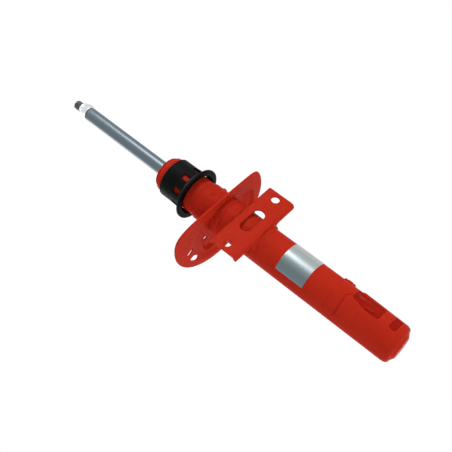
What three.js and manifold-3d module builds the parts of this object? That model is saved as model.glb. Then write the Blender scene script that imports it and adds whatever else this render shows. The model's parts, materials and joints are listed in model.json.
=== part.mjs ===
// A front suspension strut: a twin-tube damper with a welded spring seat, a bracket for the
// anti-roll link, a plastic boot carrier, and its damper rod, piston and valves inside.
// Millimetres. +Z runs along the rod, up as the strut stands in a car. The origin is the centre of
// the bottom end. -Y is the front, where the link bracket faces.
import * as THREE from "three";
import { mergeVertices } from "three/addons/utils/BufferGeometryUtils.js";
import Module from "manifold-3d";

const wasm = await Module();
wasm.setup();

// ---------------------------------------------------------------- driving dimensions

const FIT_GAP = 0.3; // between pieces that touch
const SLIDE_GAP = 0.35; // around what slides

// outer tube
const TUBE_R = 27.5; // the knuckle's clamp takes 55 mm
const SWAGE_STEP = 0.5; // how much narrower it is above the spring seat
const TUBE_WALL = 2.7;
const SWAGE_Z = 288.5; // where the tube steps down in diameter
const SWAGE_HEIGHT = 3;
const UPPER_TUBE_R = TUBE_R - SWAGE_STEP;
const TUBE_TOP_Z = 405;
const TUBE_LIP = 3.4; // how far the rolled top leans in
const FOOT_RADIUS = 8; // rounding of the closed bottom end
const FOOT_HOLE_R = 11;

// features pressed into the clamp zone
const GROOVE_Z = 90; // upper limit of the knuckle's clamp
const GROOVE_DEPTH = 0.5;
const GROOVE_WIDTH = 3;
const POCKET_DEPTH = 2.2;
const POCKET_WALL = 2.2;
const POCKET_ANGLES = [4, 50]; // degrees to the right of the front
const POCKET_LOW = [18, 26];
const POCKET_HIGH = [41, 84];
const POCKET_CORNER = 3.5;
const LUG_ANGLE = 76; // stop lug that sits on top of the clamp
const LUG_SPAN = 34;
const LUG_Z = [91.5, 109];
const LUG_HEIGHT = 2.6;
const LUG_BEVEL = 1.6;
const LUG_BOSS = 0.6; // how far its middle stands out further
const LUG_BOSS_HEIGHT = 5;
const KEY_ANGLES = [59, 103]; // flat key that fits the clamp's slit
const KEY_Z = [14, 79];
const KEY_HEIGHT = 0.9;

// spring seat: an oval dish that is cut straight at the front
const SEAT_Z = 296.5; // underside of its flat ring
const SEAT_SHEET = 2.6;
const SEAT_R = 86.4;
const SEAT_STRETCH = 0.04; // how much longer and narrower than a circle
const SEAT_TURN = 27; // of its long axis, in degrees
const SEAT_CENTRE = [-8.2, 1];
const SEAT_FRONT = 40.4; // straight front edge, ahead of the strut's axis
const SEAT_CORNERS = 7; // a higher power makes tighter corners
const CROWN_R = 64; // raised middle of the dish
const CROWN_CENTRE = [-3, 16];
const CROWN_FRONT = 24;
const CROWN_CORNERS = 6;
const CROWN_SLOPE = 16;
const CROWN_RISE = 7;
const COLLAR_SHEET = 1.6;
const COLLAR_Z = [292.5, 331.4];
const COLLAR_BEND = 5; // from the crown into the collar
const SEAT_WELD = 4.6;
const NUB_COUNT = 6; // nubs that hold the spring's pad on the collar
const NUB_Z = 320;
const NUB_R = 3.6;
const NUB_HEIGHT = 0.9;
const RIM_DRAINS = [
  { angle: -127.4, inset: 16.3, length: 21, width: 10, turn: 47 },
  { angle: -108, inset: 23.3, length: 15.2, width: 8.3, turn: 145 },
];
const CROWN_DRAIN = { angle: -138.8, inset: 32.4, length: 8.5, width: 8.4, turn: 0 };

// link bracket: a channel across the tube's front
const BRACKET_WIDTH = 121;
const BRACKET_Z = [224, 269.2];
const BRACKET_SHEET = 3;
const BRACKET_STAND = 4.5; // from the tube's front to the bracket's face
const LOW_BEND = 6.5;
const HIGH_BEND = 3.6;
const FLANGE_DEPTH = 8.5;
const FLANGE_CORNER = 2;
const FLANGE_FILLET = 4;
const EAR_WIDTH = 2.4; // of the flanges' ends, which hug the tube
const EAR_BACK = 6;
const LINK_HOLE_R = 6.1;
const LINK_HOLE_INSET = 11.3; // from the bracket's ends
const WINDOW_LENGTH = 43;
const WINDOW_WIDTH = 18;
const WINDOW_X = 1;
const HOLE_Z = 248.5;
const FLANGE_WELD = 2.2;
const WELD_ANGLE = 62; // the flanges' welds end this far to either side of the front

// boot carrier: a plastic sleeve with a flange and windows
const SLEEVE_PLAY = 1.3; // around the tube
const SLEEVE_WALL = 2;
const SLEEVE_TOP_Z = 394.8;
const SKIRT_STEP = 0.7; // how much wider the sleeve is above its flange
const FLANGE_Z = 347.6;
const FLANGE_WIDTH = 8.4;
const FLANGE_THICK = 4.4;
const FLANGE_BORE_STEP = 1.3; // from the sleeve's outside to the flange's bore
const WINDOW_COUNT = 8;
const CARRIER_WINDOW = { low: 358.4, high: 371, width: 9.2, first: -12 };

// rating label: a foil wrapped around the tube
const LABEL_Z = [140.8, 185.2];
const LABEL_ANGLES = [-64, 100];
const LABEL_THICK = 0.35;

// rod and its stud
const ROD_R = 10.4;
const ROD_TOP_Z = 578; // shoulder of the stud
const ROD_SHOULDER = 1.6;
const STUD_R = 7;
const STUD_LENGTH = 30;
const STUD_CHAMFER = 1.6;
const NUT_HEX = 21;
const NUT_HEIGHT = 11.5;
const NUT_COLLAR_WALL = 0.9; // of the crimped collar that holds the insert
const NUT_COLLAR_HEIGHT = 3.6;
const INSERT_WALL = 1.6;
const INSERT_HEIGHT = 2.6;
const CRIMP = 0.6; // how far the collar's edge is turned in over the insert
const THREAD_GAP = 0.3;

// inner tube and valves
const INNER_BORE_R = 17.5;
const INNER_WALL = 1.5;
const INNER_Z = [31, 389];
const PISTON_Z = 341;
const PISTON_HEIGHT = 15;
const PISTON_BAND = [3.5, 11.5]; // heights on the piston
const BAND_DEPTH = 1.6;
const ROD_END_R = 6; // spigot that carries the piston
const VALVE_PORTS = 6;
const PORT_R = 1.9;
const PORT_RING_R = INNER_BORE_R - 6.1;
const SHIM = 0.6;
const SHIM_MARGIN = 1.3; // by which the widest shim covers the ports
const SHIM_STEP = 2;
const SHIM_COUNT = 3;
const PISTON_NUT_R = 9.4;
const PISTON_NUT_HEIGHT = 10;
const CHECK_PLATE = 0.8;
const CHECK_LIFT = 1;
const STOP_HEIGHT = 5;
const STOP_PLAY = 3; // inside the inner tube's bore
const STOP_Z = 367;
const BUMPER_HEIGHT = 9;
const BUMPER_PLAY = 2.1;

// guide, seal and closure
const GUIDE_Z = 383;
const GUIDE_TOP_Z = 398;
const GUIDE_SPIGOT_TOP_Z = 390;
const BUSH_WALL = 1.1;
const SEAL_TOP_Z = 403.2;
const CLOSURE_TOP_Z = 409.4;
const CLOSURE_LAP = 0.4; // over the tube's rolled top

// foot valve
const CAP_SHEET = 3; // of the cup that closes the bottom
const CAP_TOP_Z = 14.5;
const FOOT_DISC_Z = 24; // underside of the disc that carries the ports
const FOOT_DISC_HEIGHT = 12;
const FOOT_SHOULDER = 1.9; // beyond the inner tube's bore
const FOOT_SHIM_MARGIN = 0.4;
const FOOT_SKIRT_WALL = 2.6;
const FOOT_NOTCH = { count: 4, width: 9, height: 5 };
const FOOT_RIVET_R = 3.5;
const RIVET_HEAD = 2.8;
const RIVET_HEAD_R = 7.5;
const RIVET_TAIL_R = 5.5;

const ARC_STEPS = 4; // facets of a rounded corner
const ROUND_STEPS = 36;
const INNER_STEPS = 24; // of the pieces inside
const SEAT_STEPS = 54;
const SLIVER = 0.005; // shorter edges are taken out after a cut
const DEGREE = Math.PI / 180;

// ---------------------------------------------------------------- geometry helpers

// One closed body with shared corners, no slivers and its faces pointing out.
function closedBody(geometry) {
  const bare = new THREE.BufferGeometry();
  const flat = geometry.index ? geometry.toNonIndexed() : geometry;
  bare.setAttribute("position", flat.getAttribute("position"));
  const merged = mergeVertices(bare, 1e-4);
  const at = merged.getAttribute("position");
  const corner = (i) => new THREE.Vector3().fromBufferAttribute(at, i);
  const faces = [];
  let volume = 0;
  for (let i = 0; i < merged.index.count; i += 3) {
    const [a, b, c] = [0, 1, 2].map((k) => merged.index.getX(i + k));
    if (a === b || b === c || c === a) continue;
    faces.push([a, b, c]);
    volume += corner(a).dot(corner(b).cross(corner(c)));
  }
  merged.setIndex(faces.flatMap(([a, b, c]) => (volume < 0 ? [a, c, b] : [a, b, c])));
  return merged;
}

function toManifold(geometry) {
  const body = closedBody(geometry);
  return new wasm.Manifold(
    new wasm.Mesh({
      numProp: 3,
      vertProperties: body.getAttribute("position").array,
      triVerts: new Uint32Array(body.index.array),
    }),
  );
}

function fromManifold(manifold) {
  const mesh = manifold.asOriginal().simplify(SLIVER).getMesh();
  const geometry = new THREE.BufferGeometry();
  const corners = new Float32Array(mesh.vertProperties);
  geometry.setAttribute("position", new THREE.BufferAttribute(corners, 3));
  geometry.setIndex([...mesh.triVerts]);
  return geometry;
}

// base with each of the tools joined on or cut away
const join = (base, ...more) =>
  fromManifold(more.reduce((sum, piece) => sum.add(toManifold(piece)), toManifold(base)));
const cut = (base, ...tools) =>
  fromManifold(tools.reduce((rest, tool) => rest.subtract(toManifold(tool)), toManifold(base)));
const common = (base, other) => fromManifold(toManifold(base).intersect(toManifold(other)));

// A profile of [radius, z] points turned about the Z axis. It closes on itself, or on the axis.
function turned(profile, steps = ROUND_STEPS) {
  const points = profile.map(([r, z]) => new THREE.Vector2(Math.max(r, 0), z));
  const [first, last] = [points[0], points[points.length - 1]];
  if (first.x > 0 || last.x > 0) points.push(first.clone());
  return closedBody(new THREE.LatheGeometry(points, steps).rotateX(Math.PI / 2));
}

const washer = (inner, outer, low, high, steps) =>
  turned([[inner, low], [outer, low], [outer, high], [inner, high]], steps);
const disc = (radius, low, high, steps) =>
  turned([[0, low], [radius, low], [radius, high], [0, high]], steps);

// Points on an arc in a profile, from one angle to another in degrees.
function arc(centreR, centreZ, radius, from, to, steps = ARC_STEPS) {
  return Array.from({ length: steps + 1 }, (_, i) => {
    const angle = (from + ((to - from) * i) / steps) * DEGREE;
    return [centreR + radius * Math.cos(angle), centreZ + radius * Math.sin(angle)];
  });
}

// A plan outline pushed up along Z.
function plate(shape, low, high, steps = 12) {
  const options = { depth: high - low, bevelEnabled: false, curveSegments: steps };
  return closedBody(new THREE.ExtrudeGeometry(shape, options).translate(0, 0, low));
}

// An outline in x and z pushed back along Y, from the front face at -front.
function frontPlate(shape, front, depth, steps = 12) {
  const options = { depth, bevelEnabled: false, curveSegments: steps };
  const geometry = new THREE.ExtrudeGeometry(shape, options);
  return closedBody(geometry.rotateX(Math.PI / 2).translate(0, depth - front, 0));
}

function circleShape(x, y, radius) {
  return new THREE.Shape().absarc(x, y, radius, 0, 2 * Math.PI);
}

// A slot with round ends: its centre, length over the ends, width and turn in degrees.
function slotShape(x, y, length, width, turn = 0) {
  const radius = width / 2;
  const reach = length / 2 - radius;
  const angle = turn * DEGREE;
  const [dx, dy] = [reach * Math.cos(angle), reach * Math.sin(angle)];
  const shape = new THREE.Shape();
  shape.absarc(x + dx, y + dy, radius, angle - Math.PI / 2, angle + Math.PI / 2);
  shape.absarc(x - dx, y - dy, radius, angle + Math.PI / 2, angle + 1.5 * Math.PI);
  return shape;
}

function roundedRectangle(left, right, low, high, radius) {
  const shape = new THREE.Shape();
  shape.absarc(right - radius, low + radius, radius, -Math.PI / 2, 0);
  shape.absarc(right - radius, high - radius, radius, 0, Math.PI / 2);
  shape.absarc(left + radius, high - radius, radius, Math.PI / 2, Math.PI);
  shape.absarc(left + radius, low + radius, radius, Math.PI, 1.5 * Math.PI);
  return shape;
}

// Direction in plan of an angle in degrees to the right of the front.
const ahead = (degrees) => [Math.sin(degrees * DEGREE), -Math.cos(degrees * DEGREE)];

// A piece of a ring between two angles from the front.
function ringSector(inner, outer, low, high, from, to, steps = 16) {
  const shape = new THREE.Shape();
  const turnOf = (degrees) => (degrees - 90) * DEGREE;
  shape.absarc(0, 0, outer, turnOf(from), turnOf(to));
  shape.absarc(0, 0, inner, turnOf(to), turnOf(from), true);
  return plate(shape, low, high, steps);
}

// A patch of a ring's wall: an outline in width and height, seen from a plan angle, and the wall
// between two radii behind it.
function wallPatch(outline, angle, inner, outer, low, high) {
  const block = frontPlate(outline, outer + 1, outer, 2).rotateZ(angle * DEGREE);
  return common(block, washer(inner, outer, low, high));
}

// The patch of wall between two plan angles and two heights, with rounded corners.
function wallRectangle(angles, heights, corner, inner, outer) {
  const middle = (angles[0] + angles[1]) / 2;
  const half = outer * Math.sin(((angles[1] - angles[0]) / 2) * DEGREE);
  const outline = roundedRectangle(-half, half, heights[0], heights[1], corner);
  return wallPatch(outline, middle, inner, outer, heights[0] - 1, heights[1] + 1);
}

// Copies of a geometry set around the Z axis.
const around = (count, make, first = 0) =>
  Array.from({ length: count }, (_, i) => make(first + (360 * i) / count));

// A hexagonal prism, its corners taken off by a cone at both ends.
function hexagon(acrossFlats, low, high) {
  const corner = acrossFlats / 2 / Math.cos(Math.PI / 6);
  const bevel = corner - acrossFlats / 2;
  const prism = new THREE.CylinderGeometry(corner, corner, high - low, 6)
    .rotateX(Math.PI / 2)
    .translate(0, 0, (low + high) / 2);
  const flat = acrossFlats / 2 - bevel / 4;
  const outer = corner + bevel;
  const cone = [
    [0, low],
    [flat, low],
    [outer, low + bevel],
    [outer, high - bevel],
    [flat, high],
    [0, high],
  ];
  return common(prism, turned(cone, INNER_STEPS));
}

// ---------------------------------------------------------------- outer tube and its bottom end

const tubeInner = TUBE_R - TUBE_WALL;
const upperInner = UPPER_TUBE_R - TUBE_WALL;
const lugRadius = TUBE_R + LUG_HEIGHT;
const lipTopR = UPPER_TUBE_R - TUBE_LIP;

function tubeProfile() {
  const round = FOOT_RADIUS;
  const inside = Math.max(round - TUBE_WALL, 1);
  return [
    [FOOT_HOLE_R, 0],
    ...arc(TUBE_R - round, round, round, -90, 0),
    [TUBE_R, SWAGE_Z],
    [UPPER_TUBE_R, SWAGE_Z + SWAGE_HEIGHT],
    ...arc(UPPER_TUBE_R - TUBE_LIP, TUBE_TOP_Z - TUBE_LIP, TUBE_LIP, 0, 75, 3),
    [lipTopR, TUBE_TOP_Z - TUBE_LIP / 2],
    [upperInner, TUBE_TOP_Z - TUBE_LIP],
    [upperInner, SWAGE_Z + SWAGE_HEIGHT],
    [tubeInner, SWAGE_Z],
    ...arc(TUBE_R - round, round, inside, 0, -90, 3),
    [FOOT_HOLE_R, round - inside],
  ];
}

// The line pressed in above the clamp zone: it runs round the tube, turns and runs down beside
// the pockets.
function clampGroove() {
  const facing = -22;
  const right = TUBE_R * Math.sin((POCKET_ANGLES[0] - facing) * DEGREE);
  const [low, high] = [POCKET_HIGH[0] + 8, GROOVE_Z + GROOVE_WIDTH / 2];
  const far = -TUBE_R + 1;
  const outside = roundedRectangle(far, right, low, high, POCKET_CORNER);
  const thin = GROOVE_WIDTH;
  const hole = roundedRectangle(far - thin, right - thin / 2, low - thin, high - thin, POCKET_CORNER);
  const floor = TUBE_R - GROOVE_DEPTH;
  const whole = wallPatch(outside, facing, floor, TUBE_R + 1, low - 1, high + 1);
  const kept = frontPlate(hole, TUBE_R + 2, TUBE_R + 2, 4).rotateZ(facing * DEGREE);
  return cut(whole, kept);
}

function strutTube() {
  const body = turned(tubeProfile());
  const pockets = [POCKET_LOW, POCKET_HIGH];
  const swell = (z) => [z[0] - POCKET_WALL, z[1] + POCKET_WALL];
  const wider = [POCKET_ANGLES[0] - 4, POCKET_ANGLES[1] + 4];
  const pads = pockets.map((z) => {
    const floor = tubeInner - POCKET_DEPTH;
    return wallRectangle(wider, swell(z), POCKET_CORNER, floor, tubeInner + 0.2);
  });
  const holes = pockets.map((z) => {
    const floor = TUBE_R - POCKET_DEPTH;
    return wallRectangle(POCKET_ANGLES, z, POCKET_CORNER, floor, TUBE_R + 1);
  });
  const sunk = TUBE_R - TUBE_WALL / 2;
  const key = wallRectangle(KEY_ANGLES, KEY_Z, POCKET_CORNER, sunk, TUBE_R + KEY_HEIGHT);
  return cut(join(body, ...pads, key), ...holes, clampGroove());
}

// The block on the tube's side that stops against the top of the knuckle's clamp.
function stopLug() {
  const half = LUG_SPAN / 2;
  const inner = TUBE_R + FIT_GAP;
  const outer = lugRadius + LUG_BOSS + 1;
  const block = ringSector(inner, outer, ...LUG_Z, LUG_ANGLE - half, LUG_ANGLE + half, 8);
  const [low, high] = LUG_Z;
  const [bossLow, bossHigh] = [-1, 1].map((side) => (low + high + side * LUG_BOSS_HEIGHT) / 2);
  const shape = turned([
    [inner - 1, low],
    [lugRadius - LUG_BEVEL, low],
    [lugRadius, low + LUG_BEVEL],
    [lugRadius, bossLow],
    [lugRadius + LUG_BOSS, bossLow + LUG_BOSS],
    [lugRadius + LUG_BOSS, bossHigh - LUG_BOSS],
    [lugRadius, bossHigh],
    [lugRadius, high - LUG_BEVEL],
    [lugRadius - LUG_BEVEL, high],
    [inner - 1, high],
  ]);
  return common(block, shape);
}

const cupOuter = tubeInner - FIT_GAP;
const cupRound = FOOT_RADIUS - TUBE_WALL;

// The cup that closes the bottom from inside, its plug flush with the rolled end.
function baseCap() {
  const wall = cupOuter;
  const floor = TUBE_WALL + FIT_GAP;
  const round = cupRound;
  const plug = FOOT_HOLE_R - FIT_GAP;
  return turned([
    [0, 0],
    [plug, 0],
    [plug, floor],
    ...arc(wall - round, floor + round, round, -90, 0, 2),
    [wall, CAP_TOP_Z],
    [wall - CAP_SHEET, CAP_TOP_Z],
    ...arc(wall - round, floor + round, round - CAP_SHEET, 0, -90, 2),
    [0, floor + CAP_SHEET],
  ], INNER_STEPS);
}

// ---------------------------------------------------------------- spring seat

const collarInner = UPPER_TUBE_R + FIT_GAP;
const collarOuter = collarInner + COLLAR_SHEET;

// How far a ray from the axis runs before it leaves an oval that is cut by a straight front. A high
// power of both reaches blends them, which rounds the corner between them.
function cutOvalReach(angle, { centre, radius, stretch, turn, front, corners }) {
  const [ux, uy] = ahead(angle);
  const [c, s] = [Math.cos(turn * DEGREE), Math.sin(turn * DEGREE)];
  const [long, short] = [radius * (1 + stretch), radius * (1 - stretch)];
  const [dx, dy] = [(ux * c + uy * s) / long, (uy * c - ux * s) / short];
  const [ox, oy] = [-(centre[0] * c + centre[1] * s) / long, (centre[0] * s - centre[1] * c) / short];
  const [a, b, k] = [dx * dx + dy * dy, ox * dx + oy * dy, ox * ox + oy * oy - 1];
  const oval = (Math.sqrt(b * b - a * k) - b) / a;
  const toFront = Math.max(-uy, 0) / front;
  return (oval ** -corners + toFront ** corners) ** (-1 / corners);
}

const seatReach = (angle) =>
  cutOvalReach(angle, {
    centre: SEAT_CENTRE,
    radius: SEAT_R,
    stretch: SEAT_STRETCH,
    turn: SEAT_TURN,
    front: SEAT_FRONT,
    corners: SEAT_CORNERS,
  });
const crownReach = (angle) =>
  cutOvalReach(angle, {
    centre: CROWN_CENTRE,
    radius: CROWN_R,
    stretch: 0,
    turn: 0,
    front: CROWN_FRONT,
    corners: CROWN_CORNERS,
  });

const smooth = (t) => t * t * (3 - 2 * t);
const clamp01 = (t) => Math.min(Math.max(t, 0), 1);

// The dish's section at a plan angle: [radius, z] points out along the underside and back along
// the top. The crown flattens out where the straight front leaves it no room.
function seatSection(angle) {
  const rim = seatReach(angle);
  const neck = collarOuter - COLLAR_SHEET / 2;
  const foot = Math.min(Math.max(crownReach(angle), neck + 4), rim - 4);
  const rise = CROWN_RISE * smooth(clamp01((foot - neck - 4) / (2 * CROWN_SLOPE)));
  const slope = Math.min(CROWN_SLOPE, (foot - neck) * 0.6);
  const shares = [0, 0.3, 0.7, 1];
  const under = [
    [neck, SEAT_Z + rise],
    ...shares.map((t) => [foot - slope * (1 - t), SEAT_Z + rise * (1 - smooth(t))]),
    [rim, SEAT_Z],
  ];
  const over = under.map(([r, z]) => [r, z + SEAT_SHEET]).reverse();
  return [...under, ...over];
}

// A body made of the same number of points around each of many half planes through the axis.
function loftAround(sectionAt, steps) {
  const sections = Array.from({ length: steps }, (_, i) => {
    const angle = (360 * i) / steps;
    const [x, y] = ahead(angle);
    return sectionAt(angle).map(([r, z]) => [x * r, y * r, z]);
  });
  const count = sections[0].length;
  const faces = [];
  for (let i = 0; i < steps; i += 1) {
    for (let k = 0; k < count; k += 1) {
      const next = (i + 1) % steps;
      const beside = (k + 1) % count;
      const quad = [i * count + k, next * count + k, next * count + beside, i * count + beside];
      faces.push(quad[0], quad[1], quad[2], quad[0], quad[2], quad[3]);
    }
  }
  const geometry = new THREE.BufferGeometry();
  const corners = new Float32Array(sections.flat(2));
  geometry.setAttribute("position", new THREE.BufferAttribute(corners, 3));
  geometry.setIndex(faces);
  return closedBody(geometry);
}

// A low ball cap on the collar, cut off square at its upper side.
function collarNub(angle) {
  const sink = collarOuter + NUB_HEIGHT - NUB_R;
  const ball = new THREE.SphereGeometry(NUB_R, 8, 6)
    .translate(0, -sink, NUB_Z)
    .rotateZ(angle * DEGREE);
  const skin = collarInner + COLLAR_SHEET / 4;
  return common(ball, washer(skin, collarOuter + NUB_R, NUB_Z - NUB_R, NUB_Z));
}

function springSeat() {
  const dish = loftAround(seatSection, SEAT_STEPS);
  const crown = SEAT_Z + CROWN_RISE + SEAT_SHEET;
  const edge = COLLAR_SHEET / 4;
  const collar = turned([
    [collarInner, COLLAR_Z[0]],
    [collarOuter, COLLAR_Z[0]],
    [collarOuter, COLLAR_Z[1] - edge],
    [collarOuter - edge, COLLAR_Z[1]],
    [collarInner, COLLAR_Z[1]],
  ]);
  const skin = collarInner + edge;
  const rootR = collarOuter + COLLAR_BEND;
  const root = turned([
    [skin, crown - SEAT_SHEET / 2],
    [rootR, crown - SEAT_SHEET / 2],
    ...arc(rootR, crown + COLLAR_BEND, COLLAR_BEND, -90, -180, 3),
    [skin, crown + COLLAR_BEND],
  ]);
  const behind = new THREE.BoxGeometry(4 * rootR, 2 * rootR, 4 * rootR)
    .translate(0, rootR - CROWN_FRONT + COLLAR_BEND, crown);
  const drain = ({ angle, inset, length, width, turn }, reachOf) => {
    const reach = reachOf(angle) - inset;
    const at = ahead(angle).map((share) => share * reach);
    return plate(slotShape(...at, length, width, turn), SEAT_Z - SEAT_SHEET, crown + SEAT_SHEET, 5);
  };
  const holes = RIM_DRAINS.map((size) => drain(size, seatReach));
  holes.push(drain(CROWN_DRAIN, crownReach));
  const nubs = around(NUB_COUNT, collarNub);
  return cut(join(dish, collar, common(root, behind), ...nubs), ...holes);
}

// The weld bead between the seat's collar and the tube.
function seatWeld() {
  const top = COLLAR_Z[0] - FIT_GAP;
  const inner = TUBE_R + FIT_GAP;
  const bead = [
    [inner, top - SEAT_WELD],
    [collarOuter, top - SEAT_WELD / 3],
    [collarOuter, top],
    [inner, top],
  ];
  return turned(bead);
}

// ---------------------------------------------------------------- link bracket

const bracketFace = TUBE_R + BRACKET_STAND; // ahead of the strut's axis
const earR = TUBE_R + FIT_GAP + EAR_WIDTH;

// The bracket's plan, one half and its mirror image: the flange's rear corner, a fillet that touches
// the flange's rear edge and the ear's circle, and the ear.
function bracketPlan() {
  const half = BRACKET_WIDTH / 2;
  const rear = -bracketFace + FLANGE_DEPTH;
  const corner = FLANGE_CORNER;
  const middleY = rear + FLANGE_FILLET;
  const middleX = Math.sqrt((earR + FLANGE_FILLET) ** 2 - middleY ** 2);
  const facing = Math.atan2(middleY, middleX) / DEGREE;
  const earEnd = -Math.asin(EAR_BACK / earR) / DEGREE;
  const side = [
    [half, -bracketFace - corner],
    ...arc(half - corner, rear - corner, corner, 0, 90, 3),
    ...arc(middleX, middleY, FLANGE_FILLET, -90, facing - 180, 3),
    ...arc(0, 0, earR, facing, earEnd, 3),
  ];
  const mirrored = side.map(([x, y]) => [-x, y]).reverse();
  const outline = [...side, ...mirrored].map(([x, y]) => new THREE.Vector2(x, y));
  return plate(new THREE.Shape(outline), BRACKET_Z[0] - corner, BRACKET_Z[1] + corner);
}

// The channel's section in depth and height: a front plate with a flange bent back at each edge.
function channelShape() {
  const [low, high] = BRACKET_Z;
  const front = -bracketFace;
  const back = -EAR_BACK;
  const sheet = BRACKET_SHEET;
  const [down, up] = [LOW_BEND, HIGH_BEND];
  const shape = new THREE.Shape();
  shape.moveTo(back, low);
  shape.lineTo(back, low + sheet);
  shape.absarc(front + down, low + down, down - sheet, -Math.PI / 2, -Math.PI, true);
  shape.absarc(front + up, high - up, up - sheet, Math.PI, Math.PI / 2, true);
  shape.lineTo(back, high - sheet);
  shape.lineTo(back, high);
  shape.absarc(front + up, high - up, up, Math.PI / 2, Math.PI, false);
  shape.absarc(front + down, low + down, down, Math.PI, 1.5 * Math.PI, false);
  shape.closePath();
  return shape;
}

function linkBracket() {
  const options = { depth: BRACKET_WIDTH, bevelEnabled: false, curveSegments: 4 };
  // the section's depth and height become y and z, and its length runs along x
  const section = new THREE.ExtrudeGeometry(channelShape(), options)
    .rotateX(Math.PI / 2)
    .rotateZ(Math.PI / 2)
    .translate(-BRACKET_WIDTH / 2, 0, 0);
  const channel = common(closedBody(section), bracketPlan());
  const sheet = BRACKET_SHEET;
  const through = (shape) => frontPlate(shape, bracketFace + sheet / 2, 1.6 * sheet, 10);
  const linkX = BRACKET_WIDTH / 2 - LINK_HOLE_INSET;
  const holes = [-linkX, linkX].map((x) => through(circleShape(x, HOLE_Z, LINK_HOLE_R)));
  const opening = through(slotShape(WINDOW_X, HOLE_Z, WINDOW_LENGTH, WINDOW_WIDTH));
  const tube = disc(TUBE_R + FIT_GAP, BRACKET_Z[0] - sheet, BRACKET_Z[1] + sheet);
  return cut(channel, ...holes, opening, tube);
}

// The weld bead along a flange, around the tube's front. up is 1 above the flange and -1 below it.
function bracketWeld(edge, up) {
  const inner = TUBE_R + FIT_GAP;
  const z = edge + up * FIT_GAP;
  const bead = turned([
    [inner, z],
    [inner + FLANGE_WELD, z],
    [inner + FLANGE_WELD / 3, z + (up * FLANGE_WELD) / 3],
    [inner, z + up * FLANGE_WELD],
  ]);
  const [low, high] = [edge - 2 * FLANGE_WELD, edge + 2 * FLANGE_WELD];
  const wedge = ringSector(TUBE_R - FIT_GAP, earR + 1, low, high, -WELD_ANGLE, WELD_ANGLE, 8);
  return common(bead, wedge);
}

// ---------------------------------------------------------------- label

const ratingLabel = () =>
  ringSector(
    TUBE_R + FIT_GAP,
    TUBE_R + FIT_GAP + LABEL_THICK,
    ...LABEL_Z,
    ...LABEL_ANGLES,
    16,
  );

// ---------------------------------------------------------------- boot carrier

function bootCarrier() {
  const sleeveInner = UPPER_TUBE_R + SLEEVE_PLAY;
  const sleeveR = sleeveInner + SLEEVE_WALL;
  const skirtR = sleeveR + SKIRT_STEP;
  const boreR = sleeveR + FLANGE_BORE_STEP;
  const flangeR = boreR + FLANGE_WIDTH;
  const skirtTop = FLANGE_Z + 14;
  const flangeTop = FLANGE_Z + FLANGE_THICK;
  const body = turned([
    [boreR, FLANGE_Z],
    [flangeR - 0.8, FLANGE_Z],
    [flangeR, FLANGE_Z + 0.8],
    [flangeR, flangeTop - 1.4],
    [flangeR - 1.4, flangeTop],
    [skirtR + 4, flangeTop + 1.6],
    [skirtR, flangeTop + 5.6],
    [sleeveR, skirtTop + 11],
    [sleeveR, SLEEVE_TOP_Z - 0.8],
    [sleeveR - 0.8, SLEEVE_TOP_Z],
    [sleeveInner, SLEEVE_TOP_Z],
    [sleeveInner, skirtTop],
  ]);
  const { low, high, width, first } = CARRIER_WINDOW;
  const opening = roundedRectangle(-width / 2, width / 2, low, high, 0.8);
  const windows = around(
    WINDOW_COUNT,
    (angle) => frontPlate(opening, flangeR, flangeR - sleeveInner / 2, 1).rotateZ(angle * DEGREE),
    first,
  );
  return cut(body, ...windows);
}

// ---------------------------------------------------------------- rod, stud and nut

const pistonTop = PISTON_Z + PISTON_HEIGHT;
const checkSeatZ = pistonTop + FIT_GAP;
const checkTopZ = checkSeatZ + CHECK_PLATE;
const rodStepZ = checkTopZ + CHECK_LIFT + FIT_GAP;
const shimTopZ = PISTON_Z - FIT_GAP;
const shimLowZ = shimTopZ - SHIM_COUNT * SHIM;
const pistonNutTopZ = shimLowZ - FIT_GAP;
const rodBottomZ = pistonNutTopZ - PISTON_NUT_HEIGHT - 3;
const studTopZ = ROD_TOP_Z + STUD_LENGTH;

function pistonRod() {
  const undercut = STUD_R - 0.7;
  return turned([
    [0, rodBottomZ],
    [ROD_END_R - 1, rodBottomZ],
    [ROD_END_R, rodBottomZ + 1],
    [ROD_END_R, rodStepZ],
    [ROD_R, rodStepZ],
    [ROD_R, ROD_TOP_Z - ROD_SHOULDER],
    [ROD_R - ROD_SHOULDER, ROD_TOP_Z],
    [undercut, ROD_TOP_Z],
    [undercut, ROD_TOP_Z + 1.4],
    [STUD_R, ROD_TOP_Z + 2.1],
    [STUD_R, studTopZ - STUD_CHAMFER],
    [STUD_R - STUD_CHAMFER, studTopZ],
    [0, studTopZ],
  ], INNER_STEPS);
}

const nutZ = ROD_TOP_Z + FIT_GAP;
const nutTopZ = nutZ + NUT_HEIGHT;
const crimpTopZ = nutTopZ + NUT_COLLAR_HEIGHT;
const insertGap = FIT_GAP / 2;
const pocketR = STUD_R + 2 * insertGap + INSERT_WALL;
const pocketLowZ = crimpTopZ - CRIMP - INSERT_HEIGHT - 2 * insertGap;

function topNut() {
  const bore = STUD_R + THREAD_GAP;
  const collarR = pocketR + NUT_COLLAR_WALL;
  const collar = washer(bore, collarR, nutZ + 1, crimpTopZ, INNER_STEPS);
  const blank = join(hexagon(NUT_HEX, nutZ, nutTopZ), collar);
  const pocket = disc(pocketR, pocketLowZ, crimpTopZ - CRIMP, INNER_STEPS);
  const mouth = disc(pocketR - CRIMP, pocketLowZ, crimpTopZ + 1, INNER_STEPS);
  const hole = disc(bore, nutZ - 1, crimpTopZ + 1, INNER_STEPS);
  return cut(blank, hole, pocket, mouth);
}

function nutInsert() {
  const low = pocketLowZ + insertGap;
  const inner = STUD_R + insertGap;
  return washer(inner, inner + INSERT_WALL, low, low + INSERT_HEIGHT, INNER_STEPS);
}

// ---------------------------------------------------------------- inner tube, piston and valves

const innerTube = () =>
  washer(INNER_BORE_R, INNER_BORE_R + INNER_WALL, ...INNER_Z, INNER_STEPS);

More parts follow.
